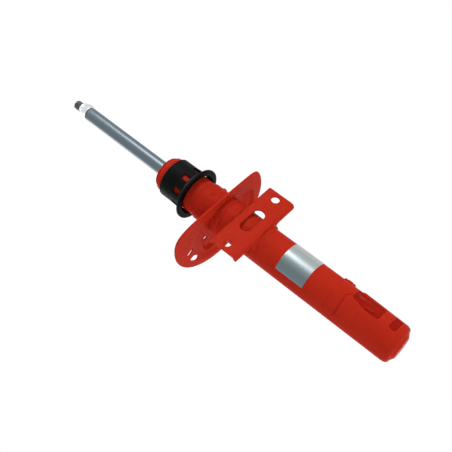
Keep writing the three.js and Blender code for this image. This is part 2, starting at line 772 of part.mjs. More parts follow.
const shimRadius = (index) => PORT_RING_R + PORT_R + SHIM_MARGIN - index * SHIM_STEP;

const ports = (low, high, ring = PORT_RING_R) =>
  around(VALVE_PORTS, (angle) => {
    const [x, y] = ahead(angle);
    return disc(PORT_R, low - 1, high + 1, 8).translate(x * ring, y * ring, 0);
  });

function piston() {
  const outer = INNER_BORE_R - SLIDE_GAP;
  const groove = outer - BAND_DEPTH;
  const [low, high] = PISTON_BAND.map((z) => PISTON_Z + z);
  const bore = ROD_END_R + FIT_GAP;
  const body = turned([
    [bore, PISTON_Z],
    [outer - 1, PISTON_Z],
    [outer, PISTON_Z + 1],
    [outer, low],
    [groove, low],
    [groove, high],
    [outer, high],
    [outer, pistonTop - 1],
    [outer - 1, pistonTop],
    [bore, pistonTop],
  ], INNER_STEPS);
  return cut(body, ...ports(PISTON_Z, pistonTop));
}

function pistonBand() {
  const outer = INNER_BORE_R - 0.15;
  const inner = INNER_BORE_R - SLIDE_GAP - BAND_DEPTH + 0.1;
  const [low, high] = PISTON_BAND.map((z) => PISTON_Z + z);
  return washer(inner, outer, low + 0.15, high - 0.15, INNER_STEPS);
}

const reboundShim = (index) => {
  const high = shimTopZ - index * SHIM;
  return washer(ROD_END_R + FIT_GAP, shimRadius(index), high - SHIM + 0.1, high, INNER_STEPS);
};

const checkPlate = () =>
  washer(ROD_END_R + SLIDE_GAP, shimRadius(0), checkSeatZ, checkTopZ, INNER_STEPS);

function pistonNut() {
  const low = pistonNutTopZ - PISTON_NUT_HEIGHT;
  const blank = hexagon(2 * PISTON_NUT_R * Math.cos(Math.PI / 6), low, pistonNutTopZ);
  return cut(blank, disc(ROD_END_R + THREAD_GAP, low - 1, pistonNutTopZ + 1, INNER_STEPS));
}

const reboundStop = () =>
  washer(ROD_R + FIT_GAP, INNER_BORE_R - STOP_PLAY, STOP_Z, STOP_Z + STOP_HEIGHT, INNER_STEPS);

function reboundBumper() {
  const low = STOP_Z + STOP_HEIGHT + FIT_GAP;
  const inner = ROD_R + FIT_GAP;
  const outer = INNER_BORE_R - BUMPER_PLAY;
  const waist = outer - 1.4;
  const middle = low + BUMPER_HEIGHT / 2;
  return turned([
    [inner, low],
    [outer, low],
    [outer, low + 2],
    [waist, middle],
    [outer, low + BUMPER_HEIGHT - 2],
    [outer, low + BUMPER_HEIGHT],
    [inner, low + BUMPER_HEIGHT],
  ], INNER_STEPS);
}

// ---------------------------------------------------------------- guide, seal and closure

const guideOuter = upperInner - FIT_GAP;
const bushOuter = ROD_R + SLIDE_GAP + BUSH_WALL;

function rodGuide() {
  const spigot = INNER_BORE_R - FIT_GAP;
  const bore = bushOuter + FIT_GAP;
  return turned([
    [bore, GUIDE_Z],
    [spigot - 1, GUIDE_Z],
    [spigot, GUIDE_Z + 1],
    [spigot, GUIDE_SPIGOT_TOP_Z],
    [guideOuter - 1.5, GUIDE_SPIGOT_TOP_Z],
    [guideOuter, GUIDE_SPIGOT_TOP_Z + 1.5],
    [guideOuter, GUIDE_TOP_Z],
    [bore, GUIDE_TOP_Z],
  ], INNER_STEPS);
}

const guideBush = () =>
  washer(ROD_R + SLIDE_GAP, bushOuter, GUIDE_Z + 1, GUIDE_TOP_Z - 1, INNER_STEPS);

function rodSeal() {
  const low = GUIDE_TOP_Z + FIT_GAP;
  const lip = ROD_R + FIT_GAP;
  return turned([
    [lip + 1.6, low],
    [guideOuter - 1.6, low],
    [guideOuter - 1.6, SEAL_TOP_Z - 1.6],
    [guideOuter - 4, SEAL_TOP_Z],
    [lip + 2.4, SEAL_TOP_Z],
    [lip, SEAL_TOP_Z - 1.2],
    [lip, low + 1.6],
  ], INNER_STEPS);
}

// The steel cap over the seal, held by the tube's rolled lip and domed a little above it.
function closureCap() {
  const bore = ROD_R + 0.7;
  const low = SEAL_TOP_Z + FIT_GAP;
  const lip = lipTopR - FIT_GAP;
  const round = 2.6;
  const outer = lipTopR + CLOSURE_LAP;
  const top = CLOSURE_TOP_Z;
  return turned([
    [bore, low],
    [lip, low],
    [lip, TUBE_TOP_Z],
    [outer, TUBE_TOP_Z + FIT_GAP],
    ...arc(outer - round, top - round, round, 0, 90, 3),
    [bore + 1, top],
    [bore, top - 1],
  ], INNER_STEPS);
}

// ---------------------------------------------------------------- foot valve

const footTop = FOOT_DISC_Z + FOOT_DISC_HEIGHT;
const footSkirtZ = TUBE_WALL + CAP_SHEET + 2 * FIT_GAP;

function footValveBody() {
  const spigot = INNER_BORE_R - FIT_GAP;
  const shoulder = INNER_Z[0] - FIT_GAP;
  const bore = FOOT_RIVET_R + FIT_GAP;
  const rim = INNER_BORE_R + FOOT_SHOULDER;
  // the skirt stands on the cup's flat floor
  const skirt = cupOuter - cupRound;
  const profile = [
    [bore, FOOT_DISC_Z],
    [skirt - FOOT_SKIRT_WALL, FOOT_DISC_Z],
    [skirt - FOOT_SKIRT_WALL, footSkirtZ],
    [skirt, footSkirtZ],
    [skirt, FOOT_DISC_Z],
    [rim, FOOT_DISC_Z + FOOT_SKIRT_WALL],
    [rim, shoulder],
    [spigot, shoulder],
    [spigot, footTop - 1],
    [spigot - 1, footTop],
    [bore, footTop],
  ];
  const { count, width, height } = FOOT_NOTCH;
  const notch = (angle) =>
    new THREE.BoxGeometry(width, skirt, 2 * height)
      .translate(0, -skirt, footSkirtZ)
      .rotateZ(angle * DEGREE);
  const body = turned(profile, INNER_STEPS);
  return cut(body, ...ports(FOOT_DISC_Z, footTop), ...around(count, notch));
}

const footCheckZ = footTop + FIT_GAP;

const footCheckPlate = () =>
  washer(
    FOOT_RIVET_R + SLIDE_GAP,
    shimRadius(0),
    footCheckZ,
    footCheckZ + CHECK_PLATE,
    INNER_STEPS,
  );

// The rivet that holds the foot valve's shim, its upper head the stop of the check plate.
function footRivet() {
  const stop = footCheckZ + CHECK_PLATE + CHECK_LIFT + FIT_GAP;
  const tail = FOOT_DISC_Z - SHIM - 2 * FIT_GAP;
  const profile = [
    [0, tail - RIVET_HEAD],
    [RIVET_TAIL_R, tail - RIVET_HEAD],
    [RIVET_TAIL_R, tail],
    [FOOT_RIVET_R, tail],
    [FOOT_RIVET_R, stop],
    [RIVET_HEAD_R, stop],
    [RIVET_HEAD_R - 1, stop + RIVET_HEAD],
    [0, stop + RIVET_HEAD],
  ];
  return turned(profile, INNER_STEPS);
}

const footShim = () => {
  const high = FOOT_DISC_Z - FIT_GAP;
  const outer = PORT_RING_R + PORT_R + FOOT_SHIM_MARGIN;
  return washer(FOOT_RIVET_R + FIT_GAP, outer, high - SHIM, high, INNER_STEPS);
};

// ---------------------------------------------------------------- finishes and the assembly

const finish = (color, roughness, metalness) => ({ color, roughness, metalness });
const RED_PAINT = finish(0xbe3324, 0.36, 0.1);
const BLACK_PLASTIC = finish(0x17181a, 0.5, 0);
const FOIL = finish(0xb9c0c1, 0.3, 0.8);
const GROUND_STEEL = finish(0x8f9ca0, 0.2, 0.9);
const BARE_STEEL = finish(0x9a9c9c, 0.4, 0.8);
const ZINC = finish(0xc9cdd0, 0.3, 0.9);
const SINTERED = finish(0x6f6d69, 0.6, 0.6);
const SPRING_STEEL = finish(0x6d7177, 0.3, 0.9);
const BRONZE = finish(0xa87f45, 0.4, 0.8);
const RUBBER = finish(0x1c1c1d, 0.8, 0);
const BLUE_NYLON = finish(0x2f6fc4, 0.5, 0);
const BROWN_PTFE = finish(0x6b4a2c, 0.5, 0);

const strut = new THREE.Group();
strut.name = "strut_assembly";

function add(group, name, geometry, material) {
  const mesh = new THREE.Mesh(geometry, new THREE.MeshStandardMaterial(material));
  mesh.name = name;
  group.add(mesh);
}

function addOuterBody() {
  const group = new THREE.Group();
  add(group, "strut_tube", strutTube(), RED_PAINT);
  add(group, "base_cap", baseCap(), RED_PAINT);
  add(group, "stop_lug", stopLug(), RED_PAINT);
  add(group, "spring_seat", springSeat(), RED_PAINT);
  add(group, "seat_weld", seatWeld(), RED_PAINT);
  add(group, "link_bracket", linkBracket(), RED_PAINT);
  add(group, "lower_bracket_weld", bracketWeld(BRACKET_Z[0], -1), RED_PAINT);
  add(group, "upper_bracket_weld", bracketWeld(BRACKET_Z[1], 1), RED_PAINT);
  add(group, "rating_label", ratingLabel(), FOIL);
  add(group, "boot_carrier", bootCarrier(), BLACK_PLASTIC);
  add(group, "closure_cap", closureCap(), RED_PAINT);
  add(group, "rod_seal", rodSeal(), RUBBER);
  add(group, "rod_guide", rodGuide(), SINTERED);
  add(group, "guide_bush", guideBush(), BRONZE);
  add(group, "inner_tube", innerTube(), BARE_STEEL);
  strut.add(group);
}

function addFootValve() {
  const group = new THREE.Group();
  add(group, "foot_valve_body", footValveBody(), SINTERED);
  add(group, "foot_valve_shim", footShim(), SPRING_STEEL);
  add(group, "foot_valve_rivet", footRivet(), BARE_STEEL);
  add(group, "foot_check_plate", footCheckPlate(), SPRING_STEEL);
  strut.add(group);
}

function addRod() {
  const group = new THREE.Group();
  add(group, "piston_rod", pistonRod(), GROUND_STEEL);
  add(group, "top_nut", topNut(), ZINC);
  add(group, "nut_insert", nutInsert(), BLUE_NYLON);
  add(group, "rebound_bumper", reboundBumper(), RUBBER);
  add(group, "rebound_stop", reboundStop(), BARE_STEEL);
  add(group, "piston_check_plate", checkPlate(), SPRING_STEEL);
  add(group, "piston", piston(), SINTERED);
  add(group, "piston_band", pistonBand(), BROWN_PTFE);
  for (let i = 0; i < SHIM_COUNT; i += 1) {
    add(group, `rebound_shim_${i + 1}`, reboundShim(i), SPRING_STEEL);
  }
  add(group, "piston_nut", pistonNut(), BARE_STEEL);
  strut.add(group);
}

addOuterBody();
addFootValve();
addRod();

export default strut;
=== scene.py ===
# %% [markdown]
# # A suspension strut in the studio
# The strut stands upright in its own frame: +Z runs along the rod, -Y is the front, where the
# bracket for the stabiliser link faces. The CAD model is loaded first and never changed. Each
# visible piece is then built again as a finer surface in the same place, and the pieces inside
# keep their CAD shape and get a finish.

# %% Load the CAD model
import json
import math

import bmesh
import bpy
import numpy as np
from mathutils import Matrix, Vector


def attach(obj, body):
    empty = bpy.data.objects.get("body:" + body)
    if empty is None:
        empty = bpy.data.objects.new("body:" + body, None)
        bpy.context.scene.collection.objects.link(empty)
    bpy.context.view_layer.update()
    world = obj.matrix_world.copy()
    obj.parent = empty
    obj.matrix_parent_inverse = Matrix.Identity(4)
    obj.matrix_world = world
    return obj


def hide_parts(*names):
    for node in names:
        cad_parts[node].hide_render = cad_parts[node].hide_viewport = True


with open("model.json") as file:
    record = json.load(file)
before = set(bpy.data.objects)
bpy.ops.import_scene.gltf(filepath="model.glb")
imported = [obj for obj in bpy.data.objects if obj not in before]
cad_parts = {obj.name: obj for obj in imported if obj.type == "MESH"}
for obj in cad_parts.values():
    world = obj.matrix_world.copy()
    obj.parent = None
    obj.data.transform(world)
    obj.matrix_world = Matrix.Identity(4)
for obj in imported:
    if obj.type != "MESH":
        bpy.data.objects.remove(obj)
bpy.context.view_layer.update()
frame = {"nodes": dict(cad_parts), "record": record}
MM = 0.001

# %% [markdown]
# ## The camera
# The photograph was taken from below and to the left of the strut, with the camera turned so that
# the rod points to the upper left. A camera could be aimed by hand or with a constraint, but then
# the roll and the perspective are hard to hit. Here the viewing direction is an azimuth and an
# elevation, and the roll turns the picture afterwards. A longish lens keeps the perspective mild.

# %% The camera
AZIMUTH, ELEVATION, ROLL = -29.2896, -21.5863, 52.7714
CAMERA_AT = Vector((-439.297, -760.910, -63.084)) * MM
SENSOR_WIDTH = 36
FOCAL_PIXELS, PICTURE_PIXELS = 680, 452


def camera_axes(azimuth, elevation, roll):
    """Right, up and backward directions of a camera that looks at the strut from a compass
    direction and a height in degrees, turned clockwise by roll about its own line of sight."""
    a, e, r = (math.radians(v) for v in (azimuth, elevation, roll))
    back = Vector((math.sin(a) * math.cos(e), -math.cos(a) * math.cos(e), math.sin(e)))
    level = Vector((0, 0, 1)).cross(back).normalized()
    above = back.cross(level)
    right = level * math.cos(r) - above * math.sin(r)
    up = level * math.sin(r) + above * math.cos(r)
    return right, up, back


right, up, back = camera_axes(AZIMUTH, ELEVATION, ROLL)
camera = bpy.data.objects.new("camera", bpy.data.cameras.new("camera"))
bpy.context.scene.collection.objects.link(camera)
bpy.context.scene.camera = camera
turned = Matrix((right, up, back)).transposed().to_4x4()
camera.matrix_world = Matrix.Translation(CAMERA_AT) @ turned
camera.data.sensor_width = SENSOR_WIDTH
camera.data.lens = SENSOR_WIDTH * FOCAL_PIXELS / PICTURE_PIXELS
camera.data.clip_start, camera.data.clip_end = 0.01, 50
print("camera looks along", [round(-c, 3) for c in back])

# %% [markdown]
# ## Finishes
# Shader maths reads better as arithmetic, so a small class wraps a node's output socket and turns
# +, - and * into Math nodes. A mask is such a number between 0 and 1, and most masks come from a
# ramp around an edge.


# %% Sockets as numbers
class Wire:
    """An output socket of a shader node that can be used in arithmetic."""

    def __init__(self, nodes, socket):
        self.nodes, self.socket = nodes, socket

    def _math(self, operation, *values):
        """A Math node with this operation, fed with wires or plain numbers."""
        node = self.nodes.node("ShaderNodeMath", {"operation": operation}, dict(enumerate(values)))
        return Wire(self.nodes, node.outputs[0])

    def __add__(self, other):
        return self._math("ADD", self, other)

    def __sub__(self, other):
        return self._math("SUBTRACT", self, other)

    def __rsub__(self, other):
        return self._math("SUBTRACT", other, self)

    def __mul__(self, other):
        return self._math("MULTIPLY", self, other)

    __radd__, __rmul__ = __add__, __mul__

    def power(self, exponent):
        """The wire raised to a power: 0.5 gives its square root."""
        return self._math("POWER", self, exponent)

    def above(self, edge, blur):
        """0 below the edge and 1 above it, with a straight ramp as wide as blur between them."""
        settings = {"clamp": True}
        values = {"Value": self, "From Min": edge - blur / 2, "From Max": edge + blur / 2}
        return Wire(self.nodes, self.nodes.node("ShaderNodeMapRange", settings, values).outputs[0])


# %% [markdown]
# Materials and the world both have a node tree. One method makes any node from its type, its
# settings and its inputs. Light Path tells which rays are seen: those of the camera, and those
# that a glossy or clear surface sends on. The others only carry light.


# %% A node tree
class Nodes:
    """A node tree whose nodes are all made by one method."""

    def __init__(self, tree):
        self.tree = tree

    def node(self, kind, settings=None, inputs=None):
        """A node of any type: its settings first, then a value or a Wire for each named input."""
        made = self.tree.nodes.new(kind)
        for key, value in (settings or {}).items():
            setattr(made, key, value)
        for key, value in (inputs or {}).items():
            if isinstance(value, Wire):
                self.tree.links.new(value.socket, made.inputs[key])
            else:
                made.inputs[key].default_value = value
        return made

    def wire(self, kind, settings=None, inputs=None, output=0):
        """The same, but gives one of the new node's outputs, to go on calculating with."""
        return Wire(self, self.node(kind, settings, inputs).outputs[output])

    def seen_ray(self):
        """1 for a ray from the camera, a reflection or a clear surface, and 0 for one that only
        carries light. A ray can be both glossy and clear, so the sum of the three is kept at 1 or
        below."""
        path = self.node("ShaderNodeLightPath")
        camera_ray = Wire(self, path.outputs["Is Camera Ray"])
        glossy_ray = Wire(self, path.outputs["Is Glossy Ray"])
        clear_ray = Wire(self, path.outputs["Is Transmission Ray"])
        return (camera_ray + glossy_ray + clear_ray).above(0.5, 1.0)


# %% [markdown]
# A finish is a material with a Principled shader. Its methods give what most finishes need: noise
# for grain and clouds, a blend of two colours, the bend of the surface, which finds its edges and
# grooves, and bump, for grain that is too fine to be modelled.


# %% A finish
class Finish(Nodes):
    """A material and its node tree, with a Principled shader ready to be wired."""

    def __init__(self, name, **constants):
        self.material = bpy.data.materials.new(name)
        self.material.use_nodes = True
        super().__init__(self.material.node_tree)
        self.shader = self.tree.nodes["Principled BSDF"]
        for socket, value in constants.items():
            self.shader.inputs[socket.replace("_", " ")].default_value = value
        self.place = self.wire("ShaderNodeTexCoord", output="Object")

    def axes(self):
        """The three object coordinates, in metres."""
        parts = self.node("ShaderNodeSeparateXYZ", None, {"Vector": self.place})
        return [Wire(self, socket) for socket in parts.outputs]

    def noise(self, scale, detail=3.0, rough=0.5, stretch=None):
        """Noise on object coordinates, with scale in features per metre. A stretch above 1 along
        an axis packs the features closer that way, so that they run across it."""
        place = self.place
        if stretch:
            place = self.wire("ShaderNodeMapping", None, {"Vector": self.place, "Scale": stretch})
        values = {"Vector": place, "Scale": scale, "Detail": detail, "Roughness": rough}
        return self.wire("ShaderNodeTexNoise", None, values, "Fac")

    def blend(self, mask, first, second):
        """The first colour where the mask is 0 and the second where it is 1."""
        values = {"Factor": mask, "A": first, "B": second}
        node = self.node("ShaderNodeMix", {"data_type": "RGBA"})
        for key, value in values.items():
            socket = [s for s in node.inputs if s.name == key and s.enabled][0]
            if isinstance(value, Wire):
                self.tree.links.new(value.socket, socket)
            else:
                socket.default_value = value
        return Wire(self, [s for s in node.outputs if s.enabled][0])

    def bend(self):
        """How the surface curves at a point: 0.5 where flat, more on edges, less in grooves."""
        return self.wire("ShaderNodeNewGeometry", output="Pointiness")

    def set(self, **wires):
        """Wires into the shader's sockets, named with an underscore for each space."""
        for key, value in wires.items():
            self.tree.links.new(value.socket, self.shader.inputs[key.replace("_", " ")])

    def bump(self, height, strength, distance):
        """Tilts the shading by the slope of a height, as if it stood out by the distance in
        metres."""
        values = {"Height": height, "Strength": strength, "Distance": distance}
        self.set(Normal=self.wire("ShaderNodeBump", None, values, "Normal"))


# %% [markdown]
# Colours are read off a picture on its scale of 0 to 255, and Blender reckons in linear light.


# %% Colours
def rgb(red, green, blue):
    """A colour given in the 0 to 255 scale of a picture, turned into linear light."""
    values = [c / 255 for c in (red, green, blue)]
    return (*[v / 12.92 if v <= 0.04045 else ((v + 0.055) / 1.055) ** 2.4 for v in values], 1.0)


print("a middle grey of 128 is", round(rgb(128, 128, 128)[0], 3), "in linear light")

# %% [markdown]
# ### Paint
# The tube, seat and bracket are dipped and sprayed in one red. The coat is smooth but not a
# mirror: it has a slight orange peel, is darker in grooves and creases, and thins on edges, where
# it looks lighter. A plain red would look like plastic, so noise and the bend of the surface place
# these changes. The tube's coat has a painted shade in its pockets, which are found by their
# distance from the strut's axis, and the closure cap's red has a painted shade all over. The gloss
# is set low: a shiny coat would mirror the white surroundings wherever it turns away from the
# camera, and look grey there.


# %% Red paint
RED, WARM_RED = rgb(181, 41, 25), rgb(186, 45, 28)
CREASE_RED, RUBBED_RED = rgb(128, 18, 10), rgb(206, 72, 56)
POCKET_SHADE_RED, CAP_SHADE_RED = rgb(154, 26, 15), rgb(140, 20, 12)
POCKET_RADIUS, POCKET_LOW, POCKET_HIGH = 0.0264, 0.0135, 0.1
GLOSS = 0.006


def red_paint(name, pocket_radius=0.0, cap_shade=0.0):
    """The red coat. It can take a painted shade all over by a share, as on the cap, and a painted
    shade in its pockets, where the surface lies nearer to the axis than a radius in metres."""
    made = Finish(name, IOR=1.5, Specular_IOR_Level=GLOSS)
    cloudy = made.noise(28, 4)
    fine = made.noise(900, 2)
    base = made.blend(cloudy.above(0.5, 0.5), RED, WARM_RED)
    # painted shade all over, by the share: the closure cap's red is made darker
    base = made.blend(cap_shade, base, CAP_SHADE_RED)
    if pocket_radius:
        # painted shade in the tube's pockets: a darker red nearer to the axis than the radius
        x, y, z = made.axes()
        inward = 1 - (x * x + y * y).power(0.5).above(pocket_radius, 0.0011)
        pocket = inward * z.above(POCKET_LOW, 0.003) * (1 - z.above(POCKET_HIGH, 0.01))
        base = made.blend(pocket * 0.85, base, POCKET_SHADE_RED)
    # darker in grooves and creases, where the surface bends inwards
    low = 1 - made.bend().above(0.47, 0.05)
    base = made.blend(low * 0.5, base, CREASE_RED)
    worn = made.bend().above(0.55, 0.06) * made.noise(160, 3).above(0.5, 0.3)
    made.set(
        Base_Color=made.blend(worn * 0.15, base, RUBBED_RED),
        Roughness=0.22 + 0.06 * cloudy + 0.03 * fine,
    )
    made.bump(fine + 0.6 * made.noise(320, 2), 0.06, 0.0003)
    return made


paint = red_paint("red_paint")
tube_paint = red_paint("tube_paint", POCKET_RADIUS)
shaded_cap_paint = red_paint("shaded_cap_paint", cap_shade=0.5)
print("paints:", [made.material.name for made in (paint, tube_paint, shaded_cap_paint)])

# %% [markdown]
# ### Bright metals
# A piston rod is ground and then polished, so its scratches run round it and its reflections
# stretch along it. The stud above it is turned and phosphated, which leaves it darker and rougher.
# An anisotropic shader would stretch the reflections too, but a grain in the colour, the roughness
# and the bump also lasts when the finish is baked for another program. One function makes all the
# metals: each has two shades, and a grain that is pulled out along the way in which the piece was
# worked.


# %% Rod, stud and the other metals
def metal(name, colour, dark, roughness, grain=700, stretch=(1, 1, 1), spots=0.0, depth=0.1):
    """A metal with two shades, small stains, and a grain whose stretch above 1 along an axis makes
    it run across that axis."""
    made = Finish(name, Metallic=1.0, Roughness=roughness)
    drawn = made.noise(grain, 3, 0.6, stretch)
    stain = made.noise(70, 4).above(0.6, 0.2)
    tone = made.blend(drawn * 0.7 + stain * spots, colour, dark)
    made.set(Base_Color=tone, Roughness=roughness * 0.8 + roughness * 0.5 * drawn)
    made.bump(drawn, depth, 0.0001)
    return made


ground_steel = metal(
    "ground_steel", rgb(101, 111, 118), rgb(84, 94, 101), 0.36, 500, (1, 1, 9), depth=0.02
)
stud_steel = metal("stud_steel", rgb(104, 108, 108), rgb(52, 56, 58), 0.42, 900, (1, 1, 4), 0.3)
zinc = metal("zinc", rgb(222, 225, 228), rgb(186, 190, 194), 0.26, 900)
bare_steel = metal("bare_steel", rgb(160, 160, 158), rgb(126, 126, 124), 0.36, 500, (1, 1, 6), 0.2)
spring_steel = metal("spring_steel", rgb(116, 120, 128), rgb(84, 88, 96), 0.3, 900, (9, 1, 1))
sintered_steel = metal("sintered_steel", rgb(112, 110, 106), rgb(66, 65, 62), 0.62, 2600, spots=0.3)
bronze = metal("bronze", rgb(176, 132, 74), rgb(120, 84, 44), 0.4, 2000)
metals = (ground_steel, stud_steel, zinc, bare_steel, spring_steel, sintered_steel, bronze)
print("metals:", [made.material.name for made in metals])

# %% [markdown]
# ### Label foil
# The label is a satin metallised foil, left plain here. It could be a patch in the tube's paint,
# but as a piece of its own it has a real edge and its own gloss. Its colour is painted darker on
# the strut's left and paler on its right, a painted shade and highlight for one-sided light on a
# curved foil, and one thin rule runs up it. A rule is a mask: the ramp at its left edge less the
# ramp at its right edge.

# %% Label foil
SHADED_FOIL, LIT_FOIL, RULE_GREY = rgb(98, 112, 116), rgb(178, 184, 184), rgb(70, 76, 78)
RULE_LEFT, RULE_RIGHT = 0.0083, 0.0087
foil = Finish("foil", Metallic=1.0)
brushed = foil.noise(300, 3, 0.6, (1, 1, 8))
sideways = foil.axes()[0]
# painted shade on the label's left side and painted highlight on its right side
foil_light_and_rule = foil.blend(sideways.above(-0.002, 0.03), SHADED_FOIL, LIT_FOIL)
ruled = sideways.above(RULE_LEFT, 0.0001) - sideways.above(RULE_RIGHT, 0.0001)
foil_light_and_rule = foil.blend(ruled * 0.7, foil_light_and_rule, RULE_GREY)
foil.set(
    Base_Color=foil.blend(brushed * 0.2, foil_light_and_rule, rgb(120, 130, 132)),
    Roughness=0.26 + 0.16 * brushed,
)
foil.bump(brushed, 0.08, 0.0001)
print("rule:", round((RULE_RIGHT - RULE_LEFT) * 1000, 1), "mm wide")

# %% [markdown]
# ### Mouldings, rubber and nylon
# Moulded plastic takes the fine spark-eroded grain of its tool, and shines a little where fingers
# and tools have rubbed its edges. Rubber is the same with less shine and a coarser grain, so one
# function with a few settings makes them all. The finishes are then gathered by the name of the
# slot that they fill, and given to the CAD nodes.


# %% Plastics
def moulding(name, colour, worn_colour, roughness, shine, grain=2200, depth=0.15):
    """A plastic or rubber with a fine grain and slightly paler edges."""
    made = Finish(name, IOR=1.47, Specular_IOR_Level=shine)
    grainy = made.noise(grain, 3)
    dusty = made.noise(45, 3).above(0.55, 0.4)
    tone = made.blend(made.bend().above(0.55, 0.06) * 0.4 + dusty * 0.1, colour, worn_colour)
    made.set(Base_Color=tone, Roughness=roughness - 0.06 + 0.14 * grainy)
    made.bump(grainy, depth, 0.0002)
    return made


black_plastic = moulding("black_plastic", rgb(7, 8, 8), rgb(30, 31, 32), 0.5, 0.04)
rubber = moulding("rubber", rgb(24, 24, 25), rgb(52, 52, 52), 0.72, 0.3, 1500, 0.25)
blue_nylon = moulding("blue_nylon", rgb(26, 78, 158), rgb(80, 128, 190), 0.4, 0.5)
band_plastic = moulding("band_plastic", rgb(104, 72, 44), rgb(132, 98, 66), 0.5, 0.4)

FINISHES = {
    "red_paint": paint,
    "black_plastic": black_plastic,
    "foil": foil,
    "ground_steel": ground_steel,
    "zinc": zinc,
    "blue_nylon": blue_nylon,
    "bare_steel": bare_steel,
    "spring_steel": spring_steel,
    "sintered_steel": sintered_steel,
    "bronze": bronze,
    "rubber": rubber,
    "band_plastic": band_plastic,
}
for part in frame["record"]["subparts"]:
    slots = frame["nodes"][part["node"]].data.materials
    slots.clear()
    slots.append(FINISHES[part["material_slot"]].material)
print("finishes:", len(FINISHES))

# %% [markdown]
# ## The studio
# The photograph is a cut-out on pure white, lit softly from above and from the camera's side. A
# world of that white would give the background, but it would also light the strut from all sides
# and wash it out. So the world is white wherever the camera or a reflection sees it, and dimmer as
# a light, which only fills the shadows.

# %% White surroundings
WORLD_LIGHT = 0.14
bpy.context.scene.view_settings.view_transform = "Standard"
world = bpy.data.worlds.new("studio")
bpy.context.scene.world = world
world.use_nodes = True
sky = Nodes(world.node_tree)
strength = WORLD_LIGHT + (1 - WORLD_LIGHT) * sky.seen_ray()
background = sky.tree.nodes["Background"]
background.inputs["Color"].default_value = (1, 1, 1, 1)
sky.tree.links.new(strength.socket, background.inputs["Strength"])
print("the world lights the strut at", WORLD_LIGHT, "and is seen at 1")

# %% [markdown]
# ### The floor
# White paper lies below the strut and keeps its shadow. Far from the lamps it would turn grey, so
# it glows a little where the camera or a reflection sees it, more with the distance from the
# strut.

# %% The floor
FLOOR_Z, FLOOR_R, FLOOR_SIDES = -0.14, 3.5, 64
NEAR_GLOW, FAR_GLOW = 0.1, 0.9
angles = np.linspace(0, 2 * np.pi, FLOOR_SIDES + 1)[:-1]
ring = [FLOOR_R * np.cos(angles), FLOOR_R * np.sin(angles), np.full(FLOOR_SIDES, FLOOR_Z)]
floor_mesh = bpy.data.meshes.new("floor")
floor_mesh.from_pydata(np.stack(ring, 1).tolist(), [], [list(range(FLOOR_SIDES))])
floor = bpy.data.objects.new("floor", floor_mesh)
bpy.context.scene.collection.objects.link(floor)
pale = Finish("floor_paper", Roughness=0.9, Emission_Strength=1.0)
paper = pale.noise(220, 4)
east, north, _ = pale.axes()
far = (east * east + north * north).power(0.5).above(0.7, 1.0)
glow = pale.seen_ray() * (NEAR_GLOW + FAR_GLOW * far)
pale.set(
    Base_Color=pale.blend(paper, rgb(243, 243, 242), rgb(247, 247, 247)),
    Emission_Color=pale.blend(glow, (0, 0, 0, 1), (1, 1, 1, 1)),
)
floor_mesh.materials.append(pale.material)
print("floor:", 2 * FLOOR_R, "m across, at z =", FLOOR_Z)

# %% [markdown]
# ### The lamps
# Small lamps would draw dots on the rod, so four square soft boxes face the strut. The top one is
# large and lights the floor as well. The key is smaller, which draws a clear highlight along the
# tube. The rear one and the fill lift the sides that turn away from it.


# %% The lamps
STRUT_MIDDLE = Vector((0, -0.01, 0.3))


def lamp(name, direction, distance, size, watts):
    """A square soft box that faces the middle of the strut from a direction."""
    toward = Vector(direction).normalized()
    data = bpy.data.lights.new(name, "AREA")
    data.size, data.energy = size, watts
    made = bpy.data.objects.new(name, data)
    made.location = STRUT_MIDDLE + toward * distance
    made.rotation_mode = "QUATERNION"
    made.rotation_quaternion = (-toward).to_track_quat("-Z", "Y")
    bpy.context.scene.collection.objects.link(made)


LAMPS = {
    "key": dict(direction=(0.24, -0.85, 0.42), distance=1.6, size=0.6, watts=14),
    "rear": dict(direction=(-0.3, 0.8, 0.5), distance=1.8, size=0.9, watts=6),
    "fill": dict(direction=(-0.84, 0.54, -0.05), distance=1.6, size=1.0, watts=9),
    "top": dict(direction=(0.1, -0.1, 1), distance=1.9, size=1.2, watts=38),
}
for name, settings in LAMPS.items():
    lamp(name, **settings)
print("lamps:", {name: settings["watts"] for name, settings in LAMPS.items()}, "watts")

# %% [markdown]
# ## Surfaces from arrays
# The pieces could be put together from cylinders and boxes with modifiers. Here every new piece is
# a grid of points worked out with numpy, because then each size is a number with a name, and a
# soft form can be added to the heights wherever it is wanted. One axis of the grid follows a
# profile, the other goes round the strut, and neighbouring points are joined by quads. Grids that
# meet themselves are closed into loops, so that each piece is one shut skin, as a solid needs.


# %% A mesh from a grid
def grid_mesh(points, name, around=True, along=True):
    """A mesh from a grid of points in millimetres: one quad for every four neighbours, with the
    last column joined to the first where it goes around, and the last row where it closes
    along."""
    rows, columns, _ = points.shape
    index = np.arange(rows * columns).reshape(rows, columns)
    if along:
        index = np.vstack([index, index[:1]])
    if around:
        index = np.hstack([index, index[:, :1]])
    quads = np.stack([index[:-1, :-1], index[:-1, 1:], index[1:, 1:], index[1:, :-1]], -1)
    mesh = bpy.data.meshes.new(name)
    mesh.from_pydata((points.reshape(-1, 3) * MM).tolist(), [], quads.reshape(-1, 4).tolist())
    return mesh


sample = grid_mesh(np.zeros((3, 4, 3)), "sample")
print("3 rows of 4 points, closed both ways, make", len(sample.polygons), "quads")
bpy.data.meshes.remove(sample)


# %% A finished piece
def tidied(mesh, crease):
    """Merges doubled points, turns the faces outwards and shades the mesh smooth up to an
    angle."""
    work = bmesh.new()
    work.from_mesh(mesh)
    bmesh.ops.remove_doubles(work, verts=work.verts, dist=1e-7)
    bmesh.ops.dissolve_degenerate(work, edges=work.edges, dist=1e-7)
    bmesh.ops.recalc_face_normals(work, faces=work.faces)
    work.to_mesh(mesh)
    work.free()
    mesh.polygons.foreach_set("use_smooth", np.ones(len(mesh.polygons), bool))
    mesh.set_sharp_from_angle(angle=math.radians(crease))


